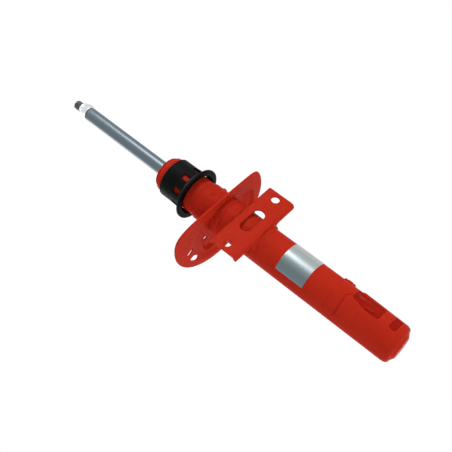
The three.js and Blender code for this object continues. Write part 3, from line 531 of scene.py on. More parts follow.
def piece(name, mesh, finish, body, node, crease=32):
    """Puts a mesh into the scene as a finished piece that rides on a body and stands for a CAD
    node."""
    made = bpy.data.objects.new(name, mesh)
    bpy.context.scene.collection.objects.link(made)
    tidied(mesh, crease)
    mesh.materials.clear()
    mesh.materials.append(finish.material)
    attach(made, body)
    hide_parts(node)
    print(f"{name}: {len(mesh.polygons)} faces")


# %% [markdown]
# A profile is a list of points in the half plane of radius and height. It is put together from
# straight stretches and arcs, and turned round the strut's axis.


# %% Profiles
def turn(profile, steps=240, reach=None):
    """Points of a profile carried round the Z axis: x = r sin a, y = -r cos a, with the angle a
    counted from the front to the right. reach(r, z, a) may change the radius from place to
    place."""
    r, z = np.asarray(profile, float).T
    a = np.linspace(0, 2 * np.pi, steps, endpoint=False)
    radius, height, angle = np.broadcast_arrays(r[:, None], z[:, None], a[None])
    if reach is not None:
        radius = reach(radius, height, angle)
    return np.stack([radius * np.sin(angle), -radius * np.cos(angle), height], -1)


def arc(centre_r, centre_z, radius, start, end, count=10):
    """Points on a circle in the profile plane, between two angles in degrees."""
    a = np.radians(np.linspace(start, end, count))
    return np.stack([centre_r + radius * np.cos(a), centre_z + radius * np.sin(a)], 1)


def line(start, end, count):
    """Evenly spaced points from start up to, and not including, end."""
    share = np.linspace(0, 1, count, endpoint=False)[:, None]
    return np.asarray(start, float) * (1 - share) + np.asarray(end, float) * share


def rounded(points, radius, count=5):
    """A closed profile with each corner replaced by points that turn through it: a quadratic curve
    that starts and ends at most radius away from the corner."""
    points = np.asarray(points, float)
    before = np.roll(points, 1, axis=0) - points
    after = np.roll(points, -1, axis=0) - points
    reach = [np.minimum(radius, 0.45 * np.linalg.norm(v, axis=1))[:, None] for v in (before, after)]
    start = points + before / np.linalg.norm(before, axis=1)[:, None] * reach[0]
    end = points + after / np.linalg.norm(after, axis=1)[:, None] * reach[1]
    t = np.linspace(0, 1, count)[None, :, None]
    curve = (1 - t) ** 2 * start[:, None] + 2 * t * (1 - t) * points[:, None] + t**2 * end[:, None]
    return curve.reshape(-1, 2)


print("an arc of 5 mm from 0 to 90 degrees ends at", arc(0, 0, 5, 0, 90)[-1].round(3))

# %% [markdown]
# Soft masks press forms into a surface: a distance to an outline goes through an S curve, which is
# 0 on one side and 1 on the other.


# %% Soft masks
def ease(x):
    """0 below 0, 1 above 1, and a smooth S between them."""
    x = np.clip(x, 0, 1)
    return x * x * (3 - 2 * x)


def wrapped(a):
    """An angle in radians brought to the range from -180 to 180 degrees."""
    return (a + np.pi) % (2 * np.pi) - np.pi


def box_distance(u, v, u_span, v_span, corner):
    """Distance to the outline of a rectangle with round corners, negative inside it."""
    du = np.abs(u - np.mean(u_span)) - (u_span[1] - u_span[0]) / 2 + corner
    dv = np.abs(v - np.mean(v_span)) - (v_span[1] - v_span[0]) / 2 + corner
    outside = np.hypot(np.maximum(du, 0), np.maximum(dv, 0))
    return outside + np.minimum(np.maximum(du, dv), 0) - corner


print("the S curve at 0.25, 0.5 and 0.75:", ease(np.array([0.25, 0.5, 0.75])))

# %% [markdown]
# ### Cutting
# Holes are the one thing that such a grid can't give, because a rim made of its quads would be
# jagged. A hole is cut with a Boolean modifier by a shut tool, a stack of outlines with a face at
# both ends. A Bevel modifier after the cuts breaks the edges.


# %% A shut tool
def cutter(rings, name="cutter"):
    """A shut tool from a stack of outlines: quads between the rings, and a face at both ends."""
    stack, count, _ = rings.shape
    mesh = grid_mesh(rings, name, along=False)
    work = bmesh.new()
    work.from_mesh(mesh)
    work.verts.ensure_lookup_table()
    work.faces.new([work.verts[i] for i in range(count)])
    work.faces.new([work.verts[(stack - 1) * count + i] for i in range(count)])
    bmesh.ops.recalc_face_normals(work, faces=work.faces)
    work.to_mesh(mesh)
    work.free()
    made = bpy.data.objects.new(name, mesh)
    bpy.context.scene.collection.objects.link(made)
    return made


def standing(outline, heights):
    """A tool along Z: an outline in x and y at each of the heights."""
    return cutter(np.stack([np.c_[outline, np.full(len(outline), z)] for z in heights]))


def lying(outline, depths):
    """A tool along Y: an outline in x and z at each of the depths."""
    x, z = outline.T
    return cutter(np.stack([np.stack([x, np.full_like(x, y), z], 1) for y in depths]))


# %% [markdown]
# Most of the holes are slots or circles, so one outline serves them. The cuts are live modifiers
# on a blank, and the mesh that they leave is taken from it before the blank and the tools are
# thrown away.


# %% Slots and carving
def oblong(centre, length, width, turned=0.0, count=48):
    """Outline of a slot: two half circles joined by straight sides, turned about its centre."""
    a = np.linspace(0, 2 * np.pi, count, endpoint=False) + np.pi / count
    x = width / 2 * np.cos(a) + np.sign(np.cos(a)) * (length - width) / 2
    y = width / 2 * np.sin(a)
    c, s = math.cos(math.radians(turned)), math.sin(math.radians(turned))
    return np.stack([centre[0] + x * c - y * s, centre[1] + x * s + y * c], 1)


def carved(mesh, cutters, operation="DIFFERENCE", bevel=0.0):
    """A mesh with tools taken away from it, or kept only inside them, and its edges broken."""
    blank = bpy.data.objects.new("blank", mesh)
    bpy.context.scene.collection.objects.link(blank)
    for tool in cutters:
        cut = blank.modifiers.new("cut", "BOOLEAN")
        cut.operation, cut.solver, cut.object = operation, "EXACT", tool
    if bevel:
        edge = blank.modifiers.new("edge", "BEVEL")
        edge.width, edge.segments, edge.limit_method = bevel * MM, 3, "ANGLE"
        edge.angle_limit, edge.use_clamp_overlap = math.radians(38), True
    depsgraph = bpy.context.evaluated_depsgraph_get()
    made = bpy.data.meshes.new_from_object(blank.evaluated_get(depsgraph))
    for used in (blank, *cutters):
        bpy.data.objects.remove(used)
    return made


print("a slot's outline has", len(oblong((0, 0), 20, 8)), "points")

# %% [markdown]
# ## The outer tube
# The tube is drawn and rolled from sheet. Its bottom end is closed to a round edge, a line and two
# pockets are pressed into the zone that the knuckle clamps, and a low ridge beside them keys into
# the clamp's slit. Pockets could be cut out of a cylinder, but that leaves sharp borders where
# pressed steel has soft ones. So all of the forms are added to the radius of one turned surface,
# as heights that fade out at the edges of their outlines. Lumps are left standing in the large
# pocket, where the tool has reliefs.

# %% Pressed forms
TUBE_R, UPPER_R, WALL = 27.5, 27.0, 2.7
SWAGE_Z, TUBE_TOP = 288.5, 405
DEGREE = TUBE_R * math.pi / 180  # one degree round the tube, as a length
# height, angles in degrees, heights of the outline, its corner radius and its soft edge
LARGE_POCKET = (-3.0, (-7, 49), (40.5, 82.5), 4.5, 3.0)
UPPER_LUMP = (2.2, (15, 29), (66, 78), 4, 4.5)
LOWER_LUMP = (2.0, (0, 10), (50, 63), 3, 3.5)
SMALL_POCKET = (-2.6, (-6, 46), (15.5, 26), 4, 3.0)
WEB = (0.5, (-5, 24), (28, 39), 5, 5)
SHOULDER = (0.5, (-15, 5), (68, 88), 6, 9)
RIDGE = (1.4, (58, 104), (12, 79), 5, 3.0)
THIN_LINE_SPAN = (1.0, (-57, -8), (60, 70), 1, 3)
# the pressed lines: where they run, how deep they are, and how the large pocket leans
THIN_LINE_Z, SEAM_Z, COLLAR_GROOVE_Z = 64.3, 105.8, 336.6
FRAME_LINE = ((-150 * DEGREE, 7 * DEGREE), (-60, 89.2), 4.5)
FRAME_DEPTH, LINE_DEPTH, GROOVE_DEPTH = 0.95, 0.3, 0.45
FRAME_LEFT, FRAME_FOOT, FRAME_WIDTH = -76 * DEGREE, 78, 1.5
LEAN, LEAN_FOOT, LEAN_RISE = 9 * DEGREE, 56, 28
PRESSED_TOP = 200
print("one degree round the tube is", round(DEGREE, 2), "mm")

# %% [markdown]
# A pressed form is a height inside an outline, and a line is scored along a distance. The tube's
# radius is then the profile's own, plus the sum of the forms, less the lines.


# %% The tube's relief
def pressed(across, z, form):
    """The height of a pressed form: all of it inside the outline, and an S curve of the distance
    to the outline over the soft edge."""
    height, angles, heights, corner, soft = form
    span = (angles[0] * DEGREE, angles[1] * DEGREE)
    return height * ease(0.5 - box_distance(across, z, span, heights, corner) / soft)


def scored(distance, steepness, crest=1.4):
    """The section of a pressed line: 1 at its middle, and an S curve down to 0 where the distance
    times the steepness reaches the crest."""
    return ease(crest - np.abs(distance) * steepness)


def tube_reach(r, z, a):
    """The tube's radius plus its pressed forms and less its lines. Arc lengths are measured on the
    tube's surface. The large pocket leans to the right, and the ridge rises with the height."""
    across = wrapped(a) * TUBE_R
    # only the outer skin of the lower tube is pressed, not its bottom or its inside
    outside = ease((r - TUBE_R + 2.2) / 1.2) * (z < PRESSED_TOP)
    lean = LEAN * ease((z - LEAN_FOOT) / LEAN_RISE)
    relief = pressed(across - lean, z, LARGE_POCKET)
    relief = relief + pressed(across, z, RIDGE) * np.clip((z - 12) / 60, 0, 1)
    for form in (UPPER_LUMP, LOWER_LUMP, SMALL_POCKET, WEB, SHOULDER):
        relief = relief + pressed(across, z, form)
    framed = scored(box_distance(across, z, *FRAME_LINE) / FRAME_WIDTH, 1, 1.35)
    framed = framed * ease((z - FRAME_FOOT) / 5) * ease((across - FRAME_LEFT) / 4)
    thin = scored(z - THIN_LINE_Z, 1.4) * pressed(across, z, THIN_LINE_SPAN)
    seam = scored(z - SEAM_Z, 1.2)
    relief = relief - FRAME_DEPTH * framed - LINE_DEPTH * thin - LINE_DEPTH * seam
    above_collar = GROOVE_DEPTH * scored(z - COLLAR_GROOVE_Z, 1.2) * (r > UPPER_R - 0.5)
    return r + outside * relief - above_collar


inside_pocket = tube_reach(TUBE_R, 46.0, math.radians(20))
print("the large pocket is", round(float(TUBE_R - inside_pocket), 2), "mm deep")

# %% [markdown]
# The profile of the tube runs from the middle of its bottom up the outside, over the rolled lip at
# the top, and back down the inside, so the tube has its real wall. The stretch with the pressed
# forms has many rows, because a form can't be sharper than the grid that carries it. The cup that
# closes the bottom from inside is a piece of its own.

# %% The tube
LIP_R = 3.4
tube_profile = np.vstack([
    # the bottom: a flat rim round the cup's hole, a flank that rises, and the round edge
    line((11, 0), (14.3, 0), 4),
    [(14.3, 0), (15.5, 0.3), (16.8, 0.95), (18.8, 2.25), (20.1, 3.0), (21.0, 3.45), (21.3, 3.75)],
    [(21.7, 3.65), (22.6, 3.85), (23.9, 4.3), (25.1, 5.05), (26.1, 6.2), (26.8, 7.7), (27.3, 9.8)],
    # the outside, the step to the upper tube, and the groove above the seat's collar
    line((TUBE_R, 12.5), (TUBE_R, 114), 180),
    line((TUBE_R, 114), (TUBE_R, SWAGE_Z), 8),
    line((TUBE_R, SWAGE_Z), (UPPER_R, SWAGE_Z + 3), 4),
    line((UPPER_R, SWAGE_Z + 3), (UPPER_R, 334.5), 4),
    line((UPPER_R, 334.5), (UPPER_R, 339), 18),
    line((UPPER_R, 339), (UPPER_R, TUBE_TOP - LIP_R), 4),
    # the rolled lip, then the inside on the way back down
    arc(UPPER_R - LIP_R, TUBE_TOP - LIP_R, LIP_R, 0, 75, 8),
    [(UPPER_R - LIP_R, TUBE_TOP - LIP_R / 2), (UPPER_R - WALL, TUBE_TOP - LIP_R)],
    [(UPPER_R - WALL, SWAGE_Z + 3)],
    [(TUBE_R - WALL, SWAGE_Z), (TUBE_R - WALL, 100)],
    line((TUBE_R - WALL - 2.2, 90), (TUBE_R - WALL - 2.2, 17), 4),
    [(TUBE_R - WALL, 15.5), (24.3, 10.5), (22.9, 8.1), (20.3, 6.9)],
    [(17.4, 4.9), (14.6, 2.9), (11, 2.7)],
])
tube_mesh = grid_mesh(turn(tube_profile, 320, tube_reach), "tube")
piece("tube", tube_mesh, tube_paint, "strut_body", "strut_tube")
cup_profile = np.vstack([
    [(0, 0), (10.2, 0)],
    arc(10.2, 0.5, 0.5, -90, 0, 4),
    [(10.7, 3), (14.4, 3.2), (17.2, 5.2), (20.1, 7.2), (22.6, 8.5), (24, 10.8), (24.5, 12.6)],
    [(24.5, 14.5), (21.5, 14.5), (21.2, 12.2), (19.2, 10), (15, 7.6), (10, 6), (0, 6)],
])
cup_mesh = grid_mesh(turn(cup_profile, 120), "bottom_cup", along=False)
piece("bottom_cup", cup_mesh, paint, "strut_body", "base_cap")

# %% [markdown]
# ## Pads on the tube
# The stop lug and the foil label both lie on the tube's side. They could be flat pieces bent round
# with a modifier, but a patch that is worked out in angles and heights lies on the skin exactly.
# At its border it doesn't stand out at all, and from there it rises over a rounded shoulder. The
# grid is finer near the border, where the shoulder turns, and its corners are drawn in to round
# the patch.


# %% A pad
def pad(name, angles, heights, inner, height, shoulder, corner, cells, swell=None):
    """A patch of cylinder between two angles and two heights. The outside stands above the inside
    by height times a quarter circle of the distance to the border, and both meet at the border."""
    share = (np.sin(np.linspace(-1, 1, n) * np.pi / 2) for n in cells)
    u, v = np.meshgrid(*share, indexing="ij")
    half_u = inner * math.radians(angles[1] - angles[0]) / 2
    half_v = (heights[1] - heights[0]) / 2
    u, v = u * half_u, v * half_v
    # corners of the grid are drawn in onto a quarter circle
    over_u, over_v = np.abs(u) - half_u + corner, np.abs(v) - half_v + corner
    both = (over_u > 0) & (over_v > 0)
    longest = np.maximum(over_u, over_v)
    pull = np.where(both, longest / np.maximum(np.hypot(over_u, over_v), 1e-9), 1)
    u = np.where(both, np.sign(u) * (half_u - corner + over_u * pull), u)
    v = np.where(both, np.sign(v) * (half_v - corner + over_v * pull), v)
    edge = -box_distance(u, v, (-half_u, half_u), (-half_v, half_v), corner)
    rise = height * np.sqrt(1 - (1 - np.clip(edge / shoulder, 0, 1)) ** 2)
    if swell is not None:
        rise = rise * swell(u, v)
    a = math.radians(sum(angles) / 2) + u / inner
    z = v + sum(heights) / 2
    work = bmesh.new()
    for radius in (inner + rise, np.full_like(rise, inner)):
        points = np.stack([radius * np.sin(a), -radius * np.cos(a), z], -1)
        side = grid_mesh(points, name, around=False, along=False)
        work.from_mesh(side)
        bpy.data.meshes.remove(side)
    made = bpy.data.meshes.new(name)
    work.to_mesh(made)
    work.free()
    return made


# %% [markdown]
# The lug is a low steel pad, with a boss in its middle, that rests on top of the knuckle's clamp
# and keeps the strut from sinking through it. The foil is so thin that its shoulder is a quarter
# circle of its own thickness.

# %% Stop lug and label
def lug_swell(u, v):
    """A low boss in the middle of the lug."""
    return 1 + 0.25 * ease(1.5 - np.abs(v) / 3.4)


lug_mesh = pad(
    "stop_block", angles=(59, 93), heights=(91.5, 109), inner=TUBE_R - 0.1, height=2.3,
    shoulder=1.8, corner=2.0, cells=(60, 60), swell=lug_swell,
)
piece("stop_block", lug_mesh, paint, "strut_body", "stop_lug", 50)
label_mesh = pad(
    "label", angles=(-64, 100), heights=(140.8, 185.2), inner=TUBE_R + 0.05, height=0.3,
    shoulder=0.3, corner=2.0, cells=(200, 40),
)
piece("label", label_mesh, foil, "strut_body", "rating_label", 50)

# %% [markdown]
# ## Spring seat
# The seat is a dish pressed from sheet, on which the coil spring stands. Seen from above it is a
# slightly oval plate that is cut straight at the front. Its middle is raised to a crown, with a
# smaller raised field in it, and runs into a collar around the tube. It could be modelled by
# pushing a plate into shape, but its wall would grow uneven. Here each half plane through the
# strut's axis cuts it in a closed profile, whose top is its underside moved up by one sheet, and
# the grid carries that profile round while its outlines change with the angle.


# %% Outlines seen from above
def cut_oval(a, centre, radius, stretch, turned, front, corners):
    """How far a ray at angle a runs before it leaves an oval with a straight front. The oval's
    reach is the positive root of a quadratic and the front's is its distance over the ray's
    forward share. The two are joined by the sum of their high negative powers, which rounds the
    corner between them. The power has one value at the left corner and one at the right."""
    ux, uy = np.sin(a), -np.cos(a)
    c, s = math.cos(math.radians(turned)), math.sin(math.radians(turned))
    longer, shorter = radius * (1 + stretch), radius * (1 - stretch)
    dx, dy = (ux * c + uy * s) / longer, (uy * c - ux * s) / shorter
    ox, oy = -(centre[0] * c + centre[1] * s) / longer, (centre[0] * s - centre[1] * c) / shorter
    square, half, rest = dx**2 + dy**2, ox * dx + oy * dy, ox**2 + oy**2 - 1
    oval = (np.sqrt(half**2 - square * rest) - half) / square
    to_front = np.maximum(-uy, 0) / front
    power = corners[0] + (corners[1] - corners[0]) * (1 + np.tanh(3 * ux)) / 2
    return (oval**-power + to_front**power) ** (-1 / power)


plain_cut = cut_oval(0.0, (0, 0), 80, 0, 0, 40, (6, 6))
print("a circle of 80 mm that is cut at 40 mm reaches", round(float(plain_cut), 1), "mm forwards")

# %% [markdown]
# The sheet's relief is a sum of two soft steps, one for the crown and one for the raised field, so
# that either can be moved alone.

# %% The seat's sizes and its sheet
SEAT_Z, SHEET = 296.5, 2.6
SEAT = dict(centre=(-8.2, 1), radius=86.4, stretch=0.04, turned=27, front=40.4, corners=(5.5, 12))
CROWN = dict(centre=(-3, 16), radius=64, stretch=0, turned=0, front=24, corners=(6, 6))
CROWN_SLOPE, CROWN_RISE = 13.0, 3.2
FIELD_AT, FIELD_SIZE, FIELD_TURN = (13, 30), (108, 54), -9.5
FIELD_SLOPE, FIELD_RISE, FIELD_CORNERS = 5.0, 4.6, (7, 20)
COLLAR_R, COLLAR_BORE, COLLAR_Z = 28.9, 27.3, (292.5, 331.4)
COLLAR_BEND, COLLAR_EDGE, NECK, RIM_EDGE = 5.0, 0.5, 3.5, 0.5
NUBS, NUB_Z, NUB_HEIGHT, NUB_HALF_WIDTH, NUB_REACH = 6, 320, 1.4, 4.2, 5.0


def sheet_height(r, a):
    """Height of the sheet's underside: the sum of the crown's rise and of the field's rise, each
    of which falls from 1 to 0 by an S over its slope. The crown flattens where it has no room."""
    foot = np.clip(cut_oval(a, **CROWN), COLLAR_R + NECK, cut_oval(a, **SEAT) - 4)
    room = ease((foot - COLLAR_R - NECK) / (2 * CROWN_SLOPE))
    slope = np.minimum(CROWN_SLOPE, (foot - COLLAR_R) * 0.6)
    crown = CROWN_RISE * room * (1 - ease((r - foot + slope) / slope))
    c, s = math.cos(math.radians(FIELD_TURN)), math.sin(math.radians(FIELD_TURN))
    x, y = r * np.sin(a) - FIELD_AT[0], -r * np.cos(a) - FIELD_AT[1]
    u, v = x * c + y * s, y * c - x * s
    half_u, half_v = FIELD_SIZE[0] / 2, FIELD_SIZE[1] / 2
    front_corner, rear_corner = FIELD_CORNERS
    corner = front_corner + (rear_corner - front_corner) * ease((v + 5) / 20)
    edge = box_distance(u, v, (-half_u, half_u), (-half_v, half_v), corner)
    return SEAT_Z + crown + FIELD_RISE * (1 - ease(edge / FIELD_SLOPE + 1))


print("the field stands", CROWN_RISE + FIELD_RISE, "mm above the rim at most")

# %% [markdown]
# The profile starts under the collar, runs out along the underside, turns round the rim, comes
# back a sheet higher, and bends up into the collar with a quarter circle. Six nubs stick out of
# the collar, on which the coil spring's rubber pad snaps.


# %% The seat's profile
def nub_height(r, z, a):
    """A low ball cap at every sixth of the way round the collar, cut off square at its upper
    side."""
    aside = wrapped(a * NUBS) / NUBS * COLLAR_R
    left = 1 - (aside / NUB_HALF_WIDTH) ** 2 - ((z - NUB_Z) / NUB_REACH) ** 2
    on_skin = (np.abs(r - COLLAR_R) < 0.1) * (z > NUB_Z - 2 * NUB_REACH)
    return NUB_HEIGHT * np.sqrt(np.maximum(left, 0)) * (1 - ease((z - NUB_Z) / 0.9)) * on_skin


def seat_points(steps=360):
    """Rows of the closed profile, each of which has one point for every angle."""
    a = np.linspace(0, 2 * np.pi, steps, endpoint=False)[None]
    rim = cut_oval(a, **SEAT)

    def row(r, z):
        """Radius and height at every angle, whichever of the two changes with it."""
        return np.stack(np.broadcast_arrays(r + 0 * rim, z), -1)

    share = np.linspace(0, 1, 84)[:, None]
    under_r = COLLAR_R + (rim - RIM_EDGE - COLLAR_R) * share
    turn_out = np.radians(np.linspace(-70, 70, 5))[:, None]
    tip_r = rim - RIM_EDGE + RIM_EDGE * np.cos(turn_out)
    tip_z = sheet_height(rim, a) + SHEET / 2 + np.sin(turn_out) * SHEET / 2
    root = COLLAR_R + COLLAR_BEND
    over_r = root + (rim - RIM_EDGE - root) * share[::-1]
    turn_up = np.radians(np.linspace(-90, -180, 9)[1:])[:, None]
    bend_z = sheet_height(root + 0 * rim, a) + SHEET + COLLAR_BEND + COLLAR_BEND * np.sin(turn_up)
    climb = np.linspace(0, 1, 60)[1:, None]
    wall_z = bend_z[-1:] + (COLLAR_Z[1] - COLLAR_EDGE - bend_z[-1:]) * climb
    top = [(COLLAR_R - 0.15, COLLAR_Z[1] - 0.12), (COLLAR_R - COLLAR_EDGE, COLLAR_Z[1]),
           (COLLAR_BORE, COLLAR_Z[1]), (COLLAR_BORE, COLLAR_Z[0]), (COLLAR_R, COLLAR_Z[0])]
    r, z = np.moveaxis(np.vstack([
        row(under_r, sheet_height(under_r, a)),
        row(tip_r, tip_z),
        row(over_r, sheet_height(over_r, a) + SHEET),
        row(root + COLLAR_BEND * np.cos(turn_up), bend_z),
        row(COLLAR_R, wall_z),
        np.broadcast_to(np.array(top)[:, None], (len(top), steps, 2)),
    ]), -1, 0)
    r = r + nub_height(r, z, a)
    return np.stack([r * np.sin(a), -r * np.cos(a), z], -1)


seat_grid = seat_points()
print("the seat's grid has", seat_grid.shape[0], "rows of", seat_grid.shape[1], "points")

# %% [markdown]
# Water and dirt leave the seat through three openings: two slots near its left rim, and a round
# hole in the crown.

# %% Cut the drain openings
DRAINS = [  # centre, length, width and turn in degrees
    ((-59.2, 45.3), 21, 10, 47),
    ((-67.4, 21.9), 15.2, 8.3, 145),
    ((-29.7, 33.9), 8.5, 8.4, 0),
]
drain_heights = [SEAT_Z + up for up in (-8, 0.4, 9, 24)]
drains = [standing(oblong(*drain), drain_heights) for drain in DRAINS]
seat_mesh = carved(grid_mesh(seat_grid, "seat"), drains)
piece("seat", seat_mesh, paint, "strut_body", "spring_seat", 40)

# %% [markdown]
# ## Welds
# A weld bead is a row of frozen puddles, each a little over the one before. Ripples in a bump
# texture would vanish at the bead's outline, so they are shaped: a small section is carried round
# the tube, and its size breathes with the angle. The bead under the seat bulges, and the beads
# along the bracket's flanges are hollow and thin.


# %% Beads around the tube
RIPPLE = 2.6  # from one puddle to the next


def bead(section, span, steps):
    """A closed section carried along an arc of the tube. Its distance from the inner corner is
    scaled by 0.95, plus 0.08 times a ripple of the arc length, plus a slow wave of the angle, and
    goes to 0 at both ends of an open arc."""
    section = np.asarray(section, float)
    corner = section[0]
    whole = span[1] - span[0] >= 360
    a = np.radians(np.linspace(*span, steps, endpoint=not whole))
    ripple = 1 + 0.08 * np.abs(np.sin(np.pi * a * TUBE_R / RIPPLE)) - 0.05 + 0.03 * np.sin(5 * a)
    if not whole:
        ends = np.minimum(a - a[0], a[-1] - a) * TUBE_R / 3
        ripple = ripple * np.sqrt(1 - (1 - np.clip(ends, 0, 1)) ** 2)
    r = corner[0] + (section[:, 0, None] - corner[0]) * ripple[None]
    z = corner[1] + (section[:, 1, None] - corner[1]) * ripple[None]
    return np.stack([r * np.sin(a), -r * np.cos(a), z], -1), whole


def fillet(corner_r, corner_z, out, along, fullness, count=9):
    """A weld's section: its inner corner, then a curve between its two legs, cosine and sine
    raised to a power. A power of 2 gives a straight line, one below 2 bulges, and one above 2 is
    hollow."""
    t = np.radians(np.linspace(0, 90, count))
    r = corner_r + out * np.cos(t) ** fullness
    z = corner_z + along * np.sin(t) ** fullness
    return np.vstack([[(corner_r, corner_z)], np.stack([r, z], 1)])


seat_section = fillet(TUBE_R + 0.1, COLLAR_Z[0], out=1.8, along=-4.6, fullness=0.9)
seat_bead, whole = bead(seat_section, span=(-180, 180), steps=480)
seat_bead_mesh = grid_mesh(seat_bead, "seat_bead", around=whole)
piece("seat_bead", seat_bead_mesh, paint, "strut_body", "seat_weld", 60)
BRACKET_Z = (224, 269.2)
for name, node, edge, way in (
    ("lower_bead", "lower_bracket_weld", BRACKET_Z[0], -1),
    ("upper_bead", "upper_bracket_weld", BRACKET_Z[1], 1),
):
    section = fillet(TUBE_R + 0.1, edge, out=2.4, along=way * 2.4, fullness=2.6)
    points, whole = bead(section, span=(-62, 62), steps=240)
    bead_mesh = grid_mesh(points, name, around=whole)
    piece(name, bead_mesh, paint, "strut_body", node, 60)

# %% [markdown]
# ## Link bracket
# The bracket is a channel bent from strip: a face with two link holes and a window, and a flange
# at each edge that runs back to hug the tube. Three plates would need their bends added
# afterwards, while a section has them from the start. It is pushed along the bracket's length,
# kept only inside the outline seen from above, and its holes are cut last. A bevel breaks every
# edge.

# %% The channel
HALF_WIDTH, FACE_OUT, STRIP = 60.5, 32.0, 3.0
LOW_BEND, HIGH_BEND = 6.5, 3.6
FLANGE_DEPTH, EAR_R, EAR_BACK = 8.5, 30.2, 6


def channel_section():
    """Depth y and height z of the channel: the outer skin from the lower flange's rear edge round
    both bends to the upper flange, and the inner skin back again, a strip's thickness inside."""
    low, high = BRACKET_Z
    outer = np.vstack([
        [(-EAR_BACK + 2, low)],
        arc(-FACE_OUT + LOW_BEND, low + LOW_BEND, LOW_BEND, -90, -180, 9),
        arc(-FACE_OUT + HIGH_BEND, high - HIGH_BEND, HIGH_BEND, 180, 90, 9),
        [(-EAR_BACK + 2, high)],
    ])
    inner = np.vstack([
        [(-EAR_BACK + 2, high - STRIP)],
        arc(-FACE_OUT + HIGH_BEND, high - HIGH_BEND, HIGH_BEND - STRIP, 90, 180, 5),
        arc(-FACE_OUT + LOW_BEND, low + LOW_BEND, LOW_BEND - STRIP, 180, 270, 7),
        [(-EAR_BACK + 2, low + STRIP)],
    ])
    return np.vstack([outer, inner])


section = channel_section()
girth = np.linalg.norm(np.roll(section, -1, axis=0) - section, axis=1).sum()
print("the strip is about", round(float(girth / 2 - STRIP)), "mm wide before it is bent")

# %% [markdown]
# Seen from above the flanges are narrow towards the ends of the bracket, and widen with a fillet
# to two ears that reach round the tube.


# %% The bracket from above
def bracket_outline():
    """The bracket seen from above, half of it, then mirrored: front, end, rear edge of the flange,
    a fillet that touches both that edge and the ear's circle, the ear, and the tube's own
    circle."""
    rear = -FACE_OUT + FLANGE_DEPTH
    end = arc(HALF_WIDTH - 2, rear - 2, 2, 0, 90, 6)
    fillet_r = 4
    middle_y = rear + fillet_r
    middle_x = math.sqrt((EAR_R + fillet_r) ** 2 - middle_y**2)
    facing = math.degrees(math.atan2(middle_y, middle_x))
    blend = arc(middle_x, middle_y, fillet_r, -90, facing - 180, 8)
    ear = arc(0, 0, EAR_R, facing, -math.degrees(math.asin(EAR_BACK / EAR_R)), 12)[1:]
    bore = TUBE_R + 0.1
    inside = arc(0, 0, bore, -math.degrees(math.asin(EAR_BACK / bore)), -90, 24)
    corners = [(HALF_WIDTH + 1, -FACE_OUT - 2), (HALF_WIDTH + 1, rear - 2.5)]
    half = np.vstack([corners, end, blend, ear, inside])
    return np.vstack([half, (half * [-1, 1])[::-1][1:]])


# the section at three places along the bracket makes a shut blank, as it would make a tool
across = np.linspace(-HALF_WIDTH, HALF_WIDTH, 3)
channel_points = np.broadcast_arrays(across[None], section[:, :1], section[:, 1:])
channel = cutter(np.stack(channel_points, -1).transpose(1, 0, 2), "channel")
channel_mesh = channel.data
bpy.data.objects.remove(channel)
print("the channel has", len(channel_mesh.polygons), "faces before it is cut")

# %% [markdown]
# Two outlines trim the channel, one from above and one from the front, which also rounds the upper
# corners of its ends. The bolts of the stabiliser's links go through the round holes, and the
# window saves weight and lets water out.

# %% Its ends and holes
LINK_HOLE_X, HOLES_Z, LINK_HOLE, WINDOW_X, WINDOW = 49.2, 248.5, 12.2, 1, (43, 18)
low, high, tight = BRACKET_Z[0] - 1, BRACKET_Z[1], 1.6
ends_outline = np.vstack([
    [(HALF_WIDTH + 1, low), (HALF_WIDTH + 1, high - 2 * tight)],
    arc(HALF_WIDTH - tight, high - tight, tight, 0, 80, 5),
    [(HALF_WIDTH - 2 * tight, high + 1), (-HALF_WIDTH + 2 * tight, high + 1)],
    arc(-HALF_WIDTH + tight, high - tight, tight, 100, 180, 5),
    [(-HALF_WIDTH - 1, high - 2 * tight), (-HALF_WIDTH - 1, low)],
])
kept = [standing(bracket_outline(), (210, 280)), lying(ends_outline, (-40, 0))]
bracket_mesh = carved(channel_mesh, kept, "INTERSECT")
round_hole = (LINK_HOLE + 0.01, LINK_HOLE)  # a slot that is hardly longer than it is wide
holes = [
    lying(oblong((x, HOLES_Z), *size), (-40, -27))
    for x, size in ((-LINK_HOLE_X, round_hole), (LINK_HOLE_X, round_hole), (WINDOW_X, WINDOW))
]
bracket_mesh = carved(bracket_mesh, holes, bevel=0.45)
piece("link_bracket_skin", bracket_mesh, paint, "strut_body", "link_bracket", 45)

# %% [markdown]
# ## Boot carrier
# The dust boot clips onto a black moulded sleeve. Its lower end flares into a flange, and a ring
# of windows lets water out. The sleeve is round apart from its windows, so it is turned from one
# profile, and the windows are cut through it.

# %% Sleeve and flange
FLANGE_R, FLANGE_Z, FLANGE_THICK = 40, 347.6, 4.4
SLEEVE_R, SLEEVE_TOP = 30.3, 394.8
top_side = FLANGE_Z + FLANGE_THICK
carrier_profile = rounded([
    (31.6, FLANGE_Z), (FLANGE_R, FLANGE_Z), (FLANGE_R, top_side), (34.5, top_side + 1.2),
    (31.2, top_side + 5.6), (31.0, FLANGE_Z + 14), (SLEEVE_R, FLANGE_Z + 25),
    (SLEEVE_R, SLEEVE_TOP), (SLEEVE_R - 2, SLEEVE_TOP), (SLEEVE_R - 2, FLANGE_Z + 14),
], 1.5, 6)
WINDOWS, FIRST_WINDOW = 8, -12
HALF_WINDOW, SILL, HEAD = 4.6, 358.4, 371
corners = [(-HALF_WINDOW, SILL), (HALF_WINDOW, SILL), (HALF_WINDOW, HEAD), (-HALF_WINDOW, HEAD)]
x, z = rounded(corners, 1.2, 5).T
windows = []
for a in np.radians(FIRST_WINDOW + 360 / WINDOWS * np.arange(WINDOWS)):
    c, s = np.cos(a), np.sin(a)
    windows.append(cutter(np.stack([
        np.stack([x * c - y * s, x * s + y * c, z], 1) for y in (-44, -24)
    ])))
